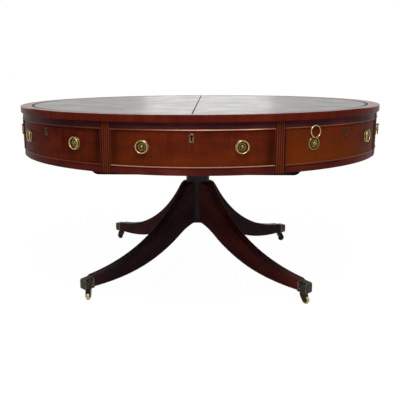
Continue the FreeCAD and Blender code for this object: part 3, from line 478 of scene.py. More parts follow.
def sabre_leg(name, heading, wood):
    """Carries the leg's cross-section from the column to the toe, with a painted highlight along the reeds'
    crests.
    """
    knee, hock = (110, 354), (190, 146.3)
    upper = bowed_run((COLUMN_RADIUS, LEG_SHOULDER), 8, 28, knee, 52.6, 28, 40)
    upper += bowed_run(knee, 52.6, 119.5, (CUP_MOUTH, 96), 6.5, 274.2, 160)[1:]
    lower = bowed_run((COLUMN_RADIUS, COLUMN_FOOT), 15.5, 60, hock, 28.7, 60, 60)
    lower += bowed_run(hock, 28.7, 115.4, (CUP_MOUTH, 55), -0.3, 185.3, 140)[1:]
    stations = list(zip(even_steps(upper, 72), even_steps(lower, 72)))
    stations.insert(0, (Vector((LEG_START, LEG_SHOULDER)), Vector((LEG_START, COLUMN_FOOT))))
    # across one half of the leg: distance in from its side, and depth under the top edge
    reed = [(0, 2.6), (0.25, 1.5), (1.0, 0.5), (2.2, 0.05), (3.4, 0.05), (4.7, 0.5), (5.6, 1.2)]
    top = [*reed, (6, 1.6), (8.6, 1.6), (9, 0.1)]
    foot = [(0, 2.2), (0.65, 0.65), (2.2, 0)]
    both = 2 * (len(top) + len(foot))
    crests = (len(top) - 2, len(top) - 3, both - len(top) + 1, both - len(top) + 2)
    shape = bmesh.new()
    layer = layer_of(shape, "tone")
    loops = []
    for over, under in stations:
        down = (under - over).normalized()
        loop = []
        for side in (-1, 1):
            rim = []
            run = [(over, aside, down * depth) for aside, depth in top[::-1]]
            run += [(under, aside, down * -depth) for aside, depth in foot]
            for base, aside, shift in run:
                half = LEG_HALF - (base.x - TAPER_START) * LEG_HALF_LOSS / (CUP_MOUTH - TAPER_START)
                spot = base + shift
                rim.append(Vector((spot.x, side * (half - aside), spot.y)) * MM)
            loop += rim if side > 0 else rim[::-1]
        loops.append([shape.verts.new(spot) for spot in loop])
        # painted light: the knees, deep in shade under the drum, are lifted a little greyer
        painted_knee_fill = 0.06 * max(0.0, 1 - max(0.0, over.x - 60) / 150)
        for n, corner in enumerate(loops[-1]):
            corner[layer] = 0.32 if n in crests else painted_knee_fill
    skinned(shape, loops).transform(turned(heading))
    return finished(name, shape, wood, hard=40)


# the planks of two of the legs are redder than the others
RED_LEGS = ("front_right", "rear_left")
for corner, heading in LEG_HEADINGS.items():
    leg = sabre_leg(f"sabre_leg_{corner}", heading, red_leg_wood if corner in RED_LEGS else dark_leg_wood)
    set_in_place(leg, "pedestal", "mahogany_leg", f"leg_{corner}")


# ---- Toe cups and their screws ----
# Cast brass boxes that cover the legs' ends, with a lip round the mouth. Handling has left them olive brown.
# Two screws through the sides of each hold it to the leg. One is made, then repeated round the table.
CUP_BASE, CUP_HALF, CUP_ROUND, CUP_FRONT = 50, 20.5, 7, 627


def bar(left, right, low, high, rounds, steps=5):
    """The outline of a bar, with a radius for each corner, from the low left round to the high left."""
    corners = ((left, low), (right, low), (right, high), (left, high))
    return softened([(*corner, radius) for corner, radius in zip(corners, rounds)], steps)


def moved(x, y, z):
    return Matrix.Translation(Vector((x, y, z)) * MM)


def cast_bronze():
    # a lacquered casting: paler on the lip and the toe's edge, by wear and a painted highlight, brown-green
    # in the pits of the sand
    material, tree, surface = new_finish("dark_cup_bronze", {"Metallic": 0.85})
    place = grain_place(tree, "up")
    patches = streaks(tree, place, "up", 14, 14, 5.0)
    pits = streaks(tree, place, "up", 1.2, 1.2, 2.0)
    base = shades(tree, patches, [(0.35, "#221c14"), (0.55, "#31291f"), (0.7, "#40372a")])
    base = blended(tree, spread(tree, pits, 0.5, 0.75, 0.0, 0.2), base, "#1e1a12")
    base = blended(tree, marked(tree, "worn"), base, "#b09c86")
    dress(tree, surface, base, spread(tree, patches, 0.3, 0.7, 0.4, 0.52), pits, 0.12)
    return material


def copies_round():
    """A tree of nodes that repeats a piece in equal steps about the table's axis."""
    tree = bpy.data.node_groups.new("copies_round_the_axis", "GeometryNodeTree")
    inputs = {"Piece": "Geometry", "Count": "Int", "First Turn": "Float", "Step Turn": "Float"}
    for name, kind in {**inputs, "Finish": "Material"}.items():
        tree.interface.new_socket(name, in_out="INPUT", socket_type=f"NodeSocket{kind}")
    tree.interface.new_socket("Copies", in_out="OUTPUT", socket_type="NodeSocketGeometry")
    given = add(tree, "NodeGroupInput").outputs
    points = add(tree, "GeometryNodePoints", {"Count": given["Count"]}).outputs[0]
    index = add(tree, "GeometryNodeInputIndex").outputs[0]
    turn = maths(tree, "MULTIPLY_ADD", index, given["Step Turn"], given["First Turn"])
    rotation = add(tree, "FunctionNodeEulerToRotation", {0: vector_of(tree, 0.0, 0.0, turn)}).outputs[0]
    spread_out = {"Points": points, "Instance": given["Piece"], "Rotation": rotation}
    copies = add(tree, "GeometryNodeInstanceOnPoints", spread_out).outputs[0]
    real = add(tree, "GeometryNodeRealizeInstances", {0: copies}).outputs[0]
    finish = add(tree, "GeometryNodeSetMaterial", {"Geometry": real, "Material": given["Finish"]})
    add(tree, "NodeGroupOutput", {0: finish.outputs[0]})
    return tree


ROUND_THE_AXIS = copies_round()


def repeat_round(piece, count, first, step):
    """Repeats a piece about the table's axis, from a first angle by a step, both in degrees."""
    piece.modifiers.clear()
    maker = piece.modifiers.new("copies", "NODES")
    maker.node_group = ROUND_THE_AXIS
    values = {"Count": count, "First Turn": math.radians(first), "Step Turn": math.radians(step)}
    values["Finish"] = piece.data.materials[0]
    for item in ROUND_THE_AXIS.interface.items_tree:
        if item.in_out == "INPUT" and item.name in values:
            maker[item.identifier] = values[item.name]
    bpy.context.view_layer.update()
    layers = bpy.context.evaluated_depsgraph_get()
    final = piece.evaluated_get(layers)
    mesh = bpy.data.meshes.new_from_object(final, preserve_all_data_layers=True, depsgraph=layers)
    piece.modifiers.clear()
    piece.data = mesh
    even_shading(piece)


def toe_cup():
    """A cup's cross-sections from its mouth to its toe, joined into one casting."""

    def top_at(x):
        return 93 - 4.5 * (x - CUP_MOUTH) / 44

    sections = [(CUP_MOUTH, 22, 94.5), (CUP_MOUTH + 0.6, 22, 94.5), (CUP_MOUTH + 5, 22, 94.5)]
    sections.append((CUP_MOUTH + 6, 21.4, 93.9))
    sections += [(x, CUP_HALF, top_at(x)) for x in (CUP_MOUTH + 6.5, 612, CUP_FRONT)]
    for step in range(1, 7):
        bend = math.radians(15 * step)
        inset = CUP_ROUND * (1 - math.cos(bend))
        x = CUP_FRONT + CUP_ROUND * math.sin(bend)
        sections.append((x, CUP_HALF - inset, top_at(x) - inset))
    shape = bmesh.new()
    layer = layer_of(shape, "worn")
    loops = []
    for x, half, high in sections:
        # rounded more at the top
        outline = bar(-half, half, CUP_BASE, high, (1.0, 1.0, 6.0, 6.0))
        loops.append([shape.verts.new(Vector((x, y, z)) * MM) for y, z in outline])
        for corner in loops[-1]:
            # the lip and the toe's edge are paler: wear, and a painted highlight along them
            corner[layer] = 0.3 if x == CUP_MOUTH + 5 else 0.14 if CUP_FRONT < x < CUP_FRONT + 5 else 0.0
    return skinned(shape, loops)


cup_bronze = cast_bronze()
toe_cups = finished("toe_cup_castings", toe_cup(), cup_bronze, hard=50)
repeat_round(toe_cups, 4, 45, 90)
set_in_place(toe_cups, "pedestal", "bronze_cup", "toe_cups")


def aged_brass(name, dark, middle, light):
    # cast and turned brass: worn bright on the rims, browned where the polishing cloth doesn't reach
    material, tree, surface = new_finish(name, {"Metallic": 1.0})
    place = grain_place(tree, "up")
    patches = streaks(tree, place, "up", 5, 5, 4.0)
    fine = streaks(tree, place, "up", 0.7, 0.7, 2.0)
    base = shades(tree, patches, [(0.3, dark), (0.5, middle), (0.68, light)])
    base = blended(tree, marked(tree, "recess"), base, "#2e1d0e")
    dress(tree, surface, base, spread(tree, patches, 0.3, 0.7, 0.24, 0.4), fine)
    return material


def screw_head():
    """A domed head with a sawn slot, on the near side of a cup."""
    dome = [(0, 0.0), (2.6, 0.0), (2.6, 0.3), (2.3, 0.8), (1.5, 1.2), (0.7, 1.4), (0, 1.45)]
    shape = turned_shape(dome, 20)
    for corner in shape.verts:
        if corner.co.z > 0.7 * MM and abs(corner.co.x) < 0.5 * MM:
            corner.co.z -= 0.6 * MM
    shape.transform(turned(-90, "X"))
    shape.transform(moved(600.5, 20.4, 63))
    other = bmesh.ops.duplicate(shape, geom=shape.verts[:] + shape.edges[:] + shape.faces[:])["geom"]
    for part in other:
        if isinstance(part, bmesh.types.BMVert):
            part.co.y *= -1
    return shape


screw_brass = aged_brass("screw_brass", "#574c42", "#75695d", "#938678")
cup_screws = finished("cup_screws", screw_head(), screw_brass)
repeat_round(cup_screws, 4, 45, 90)
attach(cup_screws, "pedestal")


# ---- Castor horns ----
# Cast brass swivel horns: a round seat and spindle under the cup, and two cheeks that hold the wheel's pin.
# The spindle turns in the cup's bored bottom.


def refined(node, name, material, bevel=0.0, hard=30):
    """A copy of a solid with its triangles joined into whole faces and its hard edges eased."""
    shape = bmesh.new()
    shape.from_mesh(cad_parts[node].data)
    bmesh.ops.remove_doubles(shape, verts=shape.verts, dist=2e-6)
    bmesh.ops.dissolve_limit(shape, angle_limit=math.radians(0.4), verts=shape.verts, edges=shape.edges)
    piece = finished(name, shape, material, hard)
    if bevel:
        piece.modifiers.clear()
        eased = piece.modifiers.new("eased_edges", "BEVEL")
        eased.width = bevel * MM
        eased.segments = 2
        eased.limit_method = "ANGLE"
        eased.angle_limit = math.radians(hard)
        even_shading(piece)
    return piece


CASTOR_HEADINGS = {"front_right": -45, "rear_right": 25, "rear_left": 140, "front_left": -90}
# the horns are dark, and the rear pair's horns and wheels darker still: painted shade
shaded_rear_castor_brass = aged_brass("shaded_rear_castor_brass", "#14110d", "#1c1812", "#28211a")
front_horn_brass = aged_brass("front_horn_brass", "#211b14", "#2c251c", "#3a3126")
for corner in CASTOR_HEADINGS:
    horn_finish = front_horn_brass if corner.startswith("front") else shaded_rear_castor_brass
    horn = refined(f"castor_horn_{corner}", f"swivel_horn_{corner}", horn_finish, 0.5)
    set_in_place(horn, f"castor_{corner}", "brass_castor", f"castor_horn_{corner}")


# ---- Castor wheels ----
# Solid turned brass wheels with a rounded tread, a dished side and a hub that runs on the horn's pin.
# Each stands a little behind its spindle, and so trails when the table is moved.
SPINDLE_REACH, WHEEL_TRAIL, WHEEL_RADIUS = 605, 12, 16.5
wheel_side = [(WHEEL_RADIUS, 0), (16.4, 1.6), (15.9, 3.4), (14.9, 5.1), (13.6, 6.2), (12.6, 6.5), (11.6, 6.4)]
wheel_side += [(10.8, 5.9), (9.5, 5.1), (8, 4.6), (6.8, 4.6), (6.2, 5.2), (5.8, 6.1), (5.2, 6.5), (2.6, 6.5)]
wheel_outline = wheel_side + [(radius, -height) for radius, height in wheel_side[:0:-1]]
wheel_recess = [0.0] * 7 + [0.3, 0.8, 1.0, 1.0, 0.6, 0.1, 0.0, 0.3]
wheel_recess += wheel_recess[:0:-1]
castor_brass = aged_brass("castor_brass", "#8c7953", "#a9956b", "#c4b187")
for corner, heading in CASTOR_HEADINGS.items():
    spot = spot_at(SPINDLE_REACH, math.radians(LEG_HEADINGS[corner]), WHEEL_RADIUS)
    spot += spot_at(WHEEL_TRAIL, math.radians(heading), 0)
    place = Matrix.Translation(spot) @ (turned(heading) @ turned(90, "X"))
    wheel_finish = castor_brass if corner.startswith("front") else shaded_rear_castor_brass
    wheel_shape = turned_shape(wheel_outline, 48, None, place, wheel_recess)
    wheel = finished(f"brass_wheel_{corner}", wheel_shape, wheel_finish, 50)
    set_in_place(wheel, f"wheel_{corner}", "brass_castor", f"castor_wheel_{corner}")


# ---- Bearer frame ----
# Two long bearers with ogee ends under the drum, with cross bearers and the pivot block between them.
# Solid mahogany, stained dark, with eased edges.
STAINED = ("#1b0908", "#2a0f0c", "#381510")
bearer_mahogany = polished_mahogany("bearer_mahogany", "right", *STAINED, polish=0.42)
cross_mahogany = polished_mahogany("cross_bearer_mahogany", "back", *STAINED, polish=0.42)
for node, name, material in (
    ("front_bearer", "ogee_bearer_front", bearer_mahogany),
    ("rear_bearer", "ogee_bearer_rear", bearer_mahogany),
    ("cross_bearers", "bearers_between", cross_mahogany),
    ("pivot_block", "bored_pivot_block", bearer_mahogany),
):
    set_in_place(refined(node, name, material, 1.5), "drum", "mahogany_case", node)


# ---- Drum floor and drawer runners ----
# A broad board of stained deal closes the drum below, and oak runners and guides carry the drawers' sides.
# Both are plain, planed and glued in place.


def plain_oak():
    # quartered oak, planed and waxed: pale brown, with grey-brown pores drawn out along each board
    material, tree, surface = new_finish("planed_oak", {"IOR": 1.45, "Specular IOR Level": 0.3})
    place = grain_place(tree, "up")
    broad = streaks(tree, place, "right", 30, 500, 2.0)
    lines = streaks(tree, place, "right", 2.2, 120, 3.0)
    wood = shades(tree, broad, [(0.35, "#977249"), (0.5, "#a57f52"), (0.68, "#b18c5b")])
    wood = blended(tree, spread(tree, lines, 0.5, 0.72, 0.0, 0.5), wood, "#6d4d2c")
    dress(tree, surface, wood, spread(tree, lines, 0.3, 0.7, 0.5, 0.65), lines, 0.3, 0.0003, sunk=True)
    return material


oak = plain_oak()
floor_wood = polished_mahogany("drum_floor_wood", "back", "#241009", "#3f1c10", "#55291a", polish=0.5)
repaint("drum_floor", floor_wood)
repaint("drawer_runners", oak)


# ---- Rails ----
# Curved mahogany rails above and below the fronts, their faces veneered.
# They are cut between the pilasters and glued to them.
CASE_LOW, FRONT_LOW, FRONT_HIGH, CASE_HIGH = 566, 590, 716, 737
CASE_BACK, CASE_FACE = 732, 754
PILASTER_HALF = 17.5
FRONT_HALF_TURN = 22.5


def arc_block(profile, clear, steps, marks, shape=None, turn=0.0):
    """A curved block centred on a turn: an outline of (radius, height) points swept round the axis.

    Its ends stop a clear distance short of the middles of the pilasters to both sides, parallel to them.
    The marks say how golden and how darkened it is, from its share of the way end to end and its height.
    """
    shape = shape or bmesh.new()
    layers = [layer_of(shape, name) for name in ("tone", "painted_shade")]
    loops = []
    for step in range(steps + 1):
        along = 2 * step / steps - 1
        loop = []
        for radius, height in profile:
            reach = math.radians(FRONT_HALF_TURN) - math.asin(clear / radius)
            corner = shape.verts.new(spot_at(radius, math.radians(turn) + reach * along, height))
            for layer, value in zip(layers, marks(along, height)):
                corner[layer] = value
            loop.append(corner)
        loops.append(loop)
    return skinned(shape, loops)


rail_mahogany = polished_mahogany("rail_mahogany", "round", "#4b1b18", "#5d231e", "#6f2c25")
# painted shade: the upper rail, close under the top's overhang, is given darker colours than the lower
shaded_upper_rail_mahogany = polished_mahogany("shaded_upper_rail_mahogany", "round", "#3a1b21", "#492327", "#592b2e")
for name, low, high, rail_wood in (
    ("upper_rails", FRONT_HIGH, CASE_HIGH, shaded_upper_rail_mahogany),
    ("lower_rails", CASE_LOW, FRONT_LOW, rail_mahogany),
):
    rail_outline = bar(CASE_BACK, CASE_FACE, low, high, (0, 0.8, 0.8, 0), 3)
    # painted shade: darker towards the pilasters at both ends
    shape = arc_block(rail_outline, PILASTER_HALF, 40, lambda along, _: (0.0, 0.4 * along**2))
    rails = finished(f"curved_{name}", shape, rail_wood)
    repeat_round(rails, 8, 0, 45)
    set_in_place(rails, "drum", "mahogany_case", name)


# ---- Pilasters ----
# Eight mahogany posts between the fronts, each with four half-round reeds planed down its face.
# They run the whole height of the drum, and the rails end against them.
POST_BACK, POST_FACE, REED_RADIUS = 714, 751, 4
pilaster_mahogany = polished_mahogany(
    "pilaster_mahogany", "up", "#3c150f", "#4b1b14", "#5b2318", "#94472a", polish=0.27
)
post_outline = [(POST_BACK, -PILASTER_HALF), (POST_FACE, -PILASTER_HALF), (POST_FACE, -4 * REED_RADIUS)]
for reed in range(4):
    across = (2 * reed - 3) * REED_RADIUS
    for step in range(1, 12):
        bend = math.radians(180 * step / 12)
        crest = (POST_FACE + REED_RADIUS * math.sin(bend), across - REED_RADIUS * math.cos(bend))
        post_outline.append(crest)
    post_outline.append((POST_FACE, across + REED_RADIUS))
post_outline += [(POST_FACE, PILASTER_HALF), (POST_BACK, PILASTER_HALF)]
post_shape = bmesh.new()
post_tone, post_painted_shade = (layer_of(post_shape, name) for name in ("tone", "painted_shade"))
post_ends = [
    [post_shape.verts.new(Vector((x, y, z)) * MM) for x, y in post_outline] for z in (CASE_LOW, CASE_HIGH)
]
for corner in post_shape.verts:
    # painted highlight on the crests, and painted shade in the quirks between them
    stand = (corner.co.x / MM - POST_FACE) / REED_RADIUS
    corner[post_tone] = max(0.0, stand) ** 3 * 0.35
    corner[post_painted_shade] = max(0.0, 1 - max(0.0, stand) * 1.6) * 0.85
pilasters = finished("reeded_pilasters", skinned(post_shape, post_ends), pilaster_mahogany, hard=40)
repeat_round(pilasters, 8, FRONT_HALF_TURN, 45)
set_in_place(pilasters, "drum", "mahogany_case", "pilasters")


# ---- Drawer fronts and fixed fronts ----
# Curved boards faced with figured mahogany veneer, the four on the diagonals glued in, the others on drawers.
# A thin cock bead with a rounded nose stands out 2.5 mm round each. The veneers differ a little in tone.
front_mahogany = polished_mahogany(
    "front_veneer", "round", "#441510", "#581c13", "#6a2514", "#7a360f", polish=0.33, gloss=0.007, curl=0.35
)
# the beads' golden colour is that of their painted highlight
bead_mahogany = polished_mahogany(
    "bead_mahogany", "round", "#561c12", "#662616", "#76301c", "#ecb08a", polish=0.34, gloss=0.03
)
BEAD, BEAD_FACE, BEAD_ROUND = 4.5, 756.5, 2.2
# the share of painted highlight on the lower beads
LOW_BEAD_SHARE = 0.45
# along the curve, from the middle of a front to its end
FRONT_HALF_LENGTH = 274


def front_board(gap, turn, tone):
    """A board with its veneer's golden tone, painted light low on its face, and painted shade along the
    beads, by the pilasters and towards its ends.
    """
    low, high = FRONT_LOW + gap + BEAD, FRONT_HIGH - gap - BEAD
    face = [(CASE_FACE, low + (high - low) * n / 12) for n in range(13)]

    def marks(along, height):
        up = (height - low) / (high - low)
        from_end = FRONT_HALF_LENGTH * (1 - abs(along))
        from_edge = min(height - low, high - height)
        # painted shade near the pilasters and along the beads, and more towards the ends; painted light low
        # on the face
        dark = 0.6 * math.exp(-((from_end / 20) ** 2)) + 0.3 * math.exp(-((from_edge / 9) ** 2))
        gold = tone * (1 - 0.5 * along)
        return gold + 0.4 * (1 - up) ** 2, min(0.7, dark + 0.42 * abs(along) ** 2) * (1 - gold)

    outline = [(CASE_BACK, low), *face, (CASE_BACK, high)]
    return arc_block(outline, PILASTER_HALF + gap + BEAD, 64, marks, None, turn)


def even_painted_highlight(share):
    """The painted highlight along an upper bead, a little less towards its ends."""
    return lambda along: share * (1 - 0.35 * along**2)


def front_bead_painted_highlight(along):
    """The painted highlight along the bead over the front drawer, brightest right of its middle and near its
    end.
    """
    middle, end = ((along - 0.12) / 0.44) ** 2, ((along - 0.72) / 0.16) ** 2
    return 0.05 + 0.85 * math.exp(-middle) + 0.7 * math.exp(-end)


def bead_nose(low):
    """A bead's outline, from the back of the front to its rounded nose."""
    return bar(CASE_BACK, BEAD_FACE, low, low + BEAD, (0, BEAD_ROUND, BEAD_ROUND, 0))


def front_beads(gap, turn, wear_and_highlight):
    """Beads along the lower and upper edge and up both ends, with painted highlights along their noses and
    painted shade under them.
    """
    low, high = FRONT_LOW + gap, FRONT_HIGH - gap
    shape = bmesh.new()
    clear = PILASTER_HALF + gap
    for under in (low, high - BEAD):

        def marks(along, height):
            rise = (height - under) / BEAD
            # painted highlight on the upper part of each nose, the lower beads taking a share of it; painted
            # shade under each nose
            pale = wear_and_highlight(along) if under > low else LOW_BEAD_SHARE * wear_and_highlight(0.0)
            return pale * min(1.0, rise * 1.6), 0.6 * max(0.0, 0.4 - rise)

        arc_block(bead_nose(under), clear, 48, marks, shape, turn)
    dim = layer_of(shape, "painted_shade")
    for side in (-1, 1):
        # an upright bead, drawn in the frame of the pilaster that it stands beside
        spin = turned(turn + side * FRONT_HALF_TURN)
        rims = []
        for height in (low + BEAD, high - BEAD):
            rim = [Vector((x, -side * (clear + y), height)) * MM for x, y in bead_nose(0)]
            rims.append([shape.verts.new(spin @ spot) for spot in rim])
            # painted shade: the upright beads are dimmer
            for corner in rims[-1]:
                corner[dim] = 0.4
        skinned(shape, rims)
    return shape


DRAWER_TURNS = {"front": -90, "right": 0, "rear": 90, "left": 180}
DRAWER_GAP = 0.6


def bowed_front(names, gap, turn, tone, wear_and_highlight, body, node):
    """A front and its beads, on a drawer or fixed."""
    board = finished(names[0], front_board(gap, turn, tone), front_mahogany)
    beads = finished(names[1], front_beads(gap, turn, wear_and_highlight), bead_mahogany)
    for piece in (board, beads):
        set_in_place(piece, body, "mahogany_front", node)


for place, turn in DRAWER_TURNS.items():
    names = f"veneered_front_{place}", f"cock_beads_{place}"
    # painted highlights along the upper beads, the front drawer's with its own shape
    wear_and_highlight = front_bead_painted_highlight if place == "front" else even_painted_highlight(0.4)
    bowed_front(names, DRAWER_GAP, turn, 0.12, wear_and_highlight, f"drawer_{place}", f"drawer_front_{place}")
# each fixed board: its veneer's tone, and the share of painted highlight along its upper bead
for place, tone, share in (
    ("front_right", 0.4, 0.12),
    ("rear_right", 0.1, 0.3),
    ("rear_left", 0.25, 0.3),
    ("front_left", 0.0, 0.03),
):
    names = f"fixed_board_{place}", f"fixed_beads_{place}"
    bowed_front(names, 0, LEG_HEADINGS[place], tone, even_painted_highlight(share), "drum", "fixed_fronts")


# ---- Drawer boxes ----
# Plain oak sides, back and bottom, planed thin and let into grooves.
# They slide a hair above the runners.
BOX_LIFT = 0.05
for place in DRAWER_TURNS:
    drawer_box = refined(f"drawer_box_{place}", f"oak_box_{place}", oak, 0.8)
    drawer_box.data.transform(moved(0, 0, BOX_LIFT))
    set_in_place(drawer_box, f"drawer_{place}", "oak", f"drawer_box_{place}")


# ---- Back plates of the pulls ----
# Stamped and turned brass: a raised rim, a dished field and a boss with a nipple, and a knuckle for the ring.
# A shank goes through the front, with a nut behind.
PULL_TURN = 12.4
PULL_HEIGHT = 658.5
RING_OUT, RING_RADIUS = 8.0, 20.0
# each point: distance from the axis, distance out from the front, and how browned it is
PLATE = [(0, 9.9, 0.0), (1.1, 9.8, 0.0), (2.0, 9.3, 0.0), (2.6, 8.5, 0.1), (2.9, 7.8, 0.8), (3.4, 7.5, 0.7)]
PLATE += [(4.6, 7.1, 0.1), (6.2, 5.8, 0.0), (7.3, 4.0, 0.0), (7.9, 2.2, 0.4), (8.6, 1.2, 1.0)]
PLATE += [(9.6, 0.9, 0.5), (11.4, 1.0, 0.2), (12.2, 1.7, 0.0), (13.0, 1.8, 0.2), (13.8, 1.2, 1.0)]
PLATE += [(17.6, 1.1, 1.0), (18.8, 1.5, 0.8), (20.0, 2.35, 0.1), (21.0, 2.5, 0.0), (22.2, 2.2, 0.0)]
PLATE += [(23.0, 1.4, 0.1), (23.5, 0.5, 0.4), (23.5, 0.0, 0.6), (3.0, 0.0, 0.6), (3.0, -30.0, 0.3)]
PLATE += [(0, -30.0, 0.3)]


def on_front(turn):
    """The place of a pull's middle on the drum's face, with +X outwards and +Z up."""
    return turned(turn) @ moved(CASE_FACE, 0, PULL_HEIGHT)


def knuckle(shape, place):
    """The rounded lug over the boss, with an eye that the ring passes through."""
    layer = layer_of(shape, "recess")
    outer, inner = 4.35, 2.35
    bends = [2 * math.pi * n / 24 for n in range(24)]
    rows = []
    for side, inset in ((-3.0, 0.7), (-2.3, 0.0), (2.3, 0.0), (3.0, 0.7)):
        row = []
        for bend in bends:
            out = RING_OUT + (outer - inset) * math.cos(bend)
            up = RING_RADIUS + (outer - inset) * math.sin(bend)
            if math.cos(bend) < 0:
                # the half that faces the plate runs straight down to it
                share = -math.cos(bend)
                out = RING_OUT * (1 - share) + (1.0 + inset * 0.3) * share
            row.append((out, up, side))
        rows.append(row)
    eye = [(RING_OUT + inner * math.cos(bend), RING_RADIUS + inner * math.sin(bend)) for bend in bends]
    rows += [[(out, up, side) for out, up in eye] for side in (3.0, -3.0)]
    loops = []
    for row in rows:
        # in the plate's own frame its axis is +Z, and the way up the drum is -X
        loops.append([shape.verts.new(place @ (Vector((-up, side, out)) * MM)) for out, up, side in row])
        for corner in loops[-1]:
            corner[layer] = 0.15
    skinned(shape, loops, ring=True)


def pull_plate(shape, turn):
    """A plate with its shank and its knuckle, and the nut on the inside of the front."""
    place = on_front(turn) @ turned(90, "Y")
    shape = turned_shape([point[:2] for point in PLATE], 64, shape, place, [point[2] for point in PLATE])
    knuckle(shape, place)
    nut = [(3.0, -22.1), (6.0, -22.1), (6.0, -25.7), (5.4, -26.1), (3.0, -26.1)]
    return turned_shape(nut, 6, shape, place, [0.5] * 5)


def pair_of_plates(turn):
    return pull_plate(pull_plate(None, turn - PULL_TURN), turn + PULL_TURN)


brass = aged_brass("aged_brass", "#66522b", "#82703f", "#9c8855")
for place, turn in DRAWER_TURNS.items():
    plates = finished(f"pull_plates_{place}", pair_of_plates(turn), brass, hard=38)
    set_in_place(plates, f"drawer_{place}", "brass", f"drawer_fittings_{place}")
fixed_plates = finished("fixed_pull_plates", pair_of_plates(0), brass, hard=38)
repeat_round(fixed_plates, 4, -45, 90)
set_in_place(fixed_plates, "drum", "brass", "fixed_fittings")


# ---- Escutcheons and locks ----
# Thin brass plates with a round head, pierced with a keyhole that a near-black leaf of painted shade fills,
# and closed iron locks behind the fronts.
# Plates and keyholes are drawn from a point in the keyhole's throat, a little under the middle of its eye.
KEYHOLE_HEIGHT, THROAT_DROP = 693.4, 2
KEYHOLE_EYE, KEYHOLE_SLOT, KEYHOLE_DROP = 4.5, 2.5, 14.5
PLATE_HALF, PLATE_FOOT, PLATE_BROW = 7.8, -20.0, 2.2
LOCK_SIZE, LOCK_HEIGHT = (12, 52, 38), 691.9


def in_keyhole(x, y):
    """Whether a place, counted from the eye's middle, is in its eye or its slot."""
    return math.hypot(x, y) <= KEYHOLE_EYE or abs(x) <= KEYHOLE_SLOT and -KEYHOLE_DROP <= y <= 0


def in_plate(x, y):
    """Whether it is in the plate, which is straight-sided under a round head."""
    under_head = y <= PLATE_BROW or math.hypot(x, y - PLATE_BROW) <= PLATE_HALF
    return abs(x) <= PLATE_HALF and PLATE_FOOT <= y and under_head


def reach_inside(bend, inside):
    """How far a shape reaches from the throat in a direction, in steps of 0.02 mm."""
    reach, step = 0.0, 0.02
    while inside((reach + step) * math.cos(bend), (reach + step) * math.sin(bend) - THROAT_DROP):
        reach += step
    return reach


def keyhole_bends():
    """Directions from the throat: even steps, and one through each corner of the keyhole and the plate."""
    throat = math.sqrt(KEYHOLE_EYE**2 - KEYHOLE_SLOT**2)
    corners = [(KEYHOLE_SLOT, -throat), (KEYHOLE_SLOT, -KEYHOLE_DROP)]
    corners += [(PLATE_HALF, PLATE_FOOT), (PLATE_HALF, PLATE_BROW)]
    bends = [math.radians(7.5 * n) for n in range(48)]
    for x, y in corners:
        for side in (-1, 1):
            bends.append(math.atan2(y + THROAT_DROP, side * x) % (2 * math.pi))
    return sorted(bends)


def keyhole_loop(shape, inside, out, scale=1.0, play=0.0):
    """The outline of a shape round the throat, a distance out from the drum's face."""
    loop = []
    for bend in keyhole_bends():
        reach = reach_inside(bend, inside) * scale - play
        across, up = reach * math.cos(bend), reach * math.sin(bend) - THROAT_DROP
        loop.append(shape.verts.new(Vector((CASE_FACE + out, across, KEYHOLE_HEIGHT + up)) * MM))
    return loop


def escutcheon_plate():
    """A plate round the keyhole, its outer edge eased."""
    shape = bmesh.new()
    rims = [(in_plate, 0.0, 1.0), (in_plate, 1.0, 1.0), (in_plate, 1.5, 0.95)]
    rims += [(in_keyhole, 1.5, 1.04), (in_keyhole, 1.2, 1.0), (in_keyhole, 0.0, 1.0)]
    return skinned(shape, [keyhole_loop(shape, *rim) for rim in rims], ring=True)


def keyhole_lining():
    """Painted shade for the hole: a near-black leaf behind the plate that just clears the front, which has no
    hole.
    """
    shape = bmesh.new()
    return skinned(shape, [keyhole_loop(shape, in_keyhole, out, play=0.05) for out in (-0.4, 0.35)])


def lock_case():
    """A closed iron block with eased edges, let into the back of the front."""
    shape = bmesh.new()
    bmesh.ops.create_cube(shape, size=1.0)
    shape.transform(Matrix.Diagonal((*[size * MM for size in LOCK_SIZE], 1)))
    bmesh.ops.bevel(shape, geom=shape.edges[:], offset=0.8 * MM, segments=2, affect="EDGES", profile=0.5)
    shape.transform(moved(CASE_BACK, 0, LOCK_HEIGHT))
    return shape


# the keyhole's near-black is painted shade, since the front behind it is not pierced
unlit, keyhole_shade_colours = {"IOR": 1.45, "Specular IOR Level": 0.1}, [(0.3, "#050302"), (0.7, "#100806")]
painted_keyhole_shade = dull_black("keyhole_dark", unlit, 3, 2.0, keyhole_shade_colours, (0.6, 0.9))
plate_brass = aged_brass("plate_brass", "#574630", "#6b583f", "#806c50")
browned_brass = aged_brass("browned_brass", "#2c1c14", "#3b281d", "#4d3729")
for place, turn in DRAWER_TURNS.items():
    for name, shape, material, slot in (
        ("escutcheon", escutcheon_plate(), plate_brass, "brass"),
        ("keyhole", keyhole_lining(), painted_keyhole_shade, "iron"),
        ("lock", lock_case(), iron, "iron"),
    ):
        shape.transform(turned(turn))
        fitting = finished(f"{name}_{place}", shape, material)
        set_in_place(fitting, f"drawer_{place}", slot, f"drawer_fittings_{place}")
for name, shape, material, slot in (
    ("fixed_escutcheons", escutcheon_plate(), browned_brass, "brass"),
    ("fixed_keyholes", keyhole_lining(), painted_keyhole_shade, "iron"),
):
    fitting = finished(name, shape, material)
    repeat_round(fitting, 4, -45, 90)
    set_in_place(fitting, "drum", slot, "fixed_fittings")


# ---- Rings ----
# Sixteen rings of round brass wire, each hanging in its knuckle.
# One was left swung up against the front.
WIRE_RADIUS = 1.97
SWUNG_UP = -184


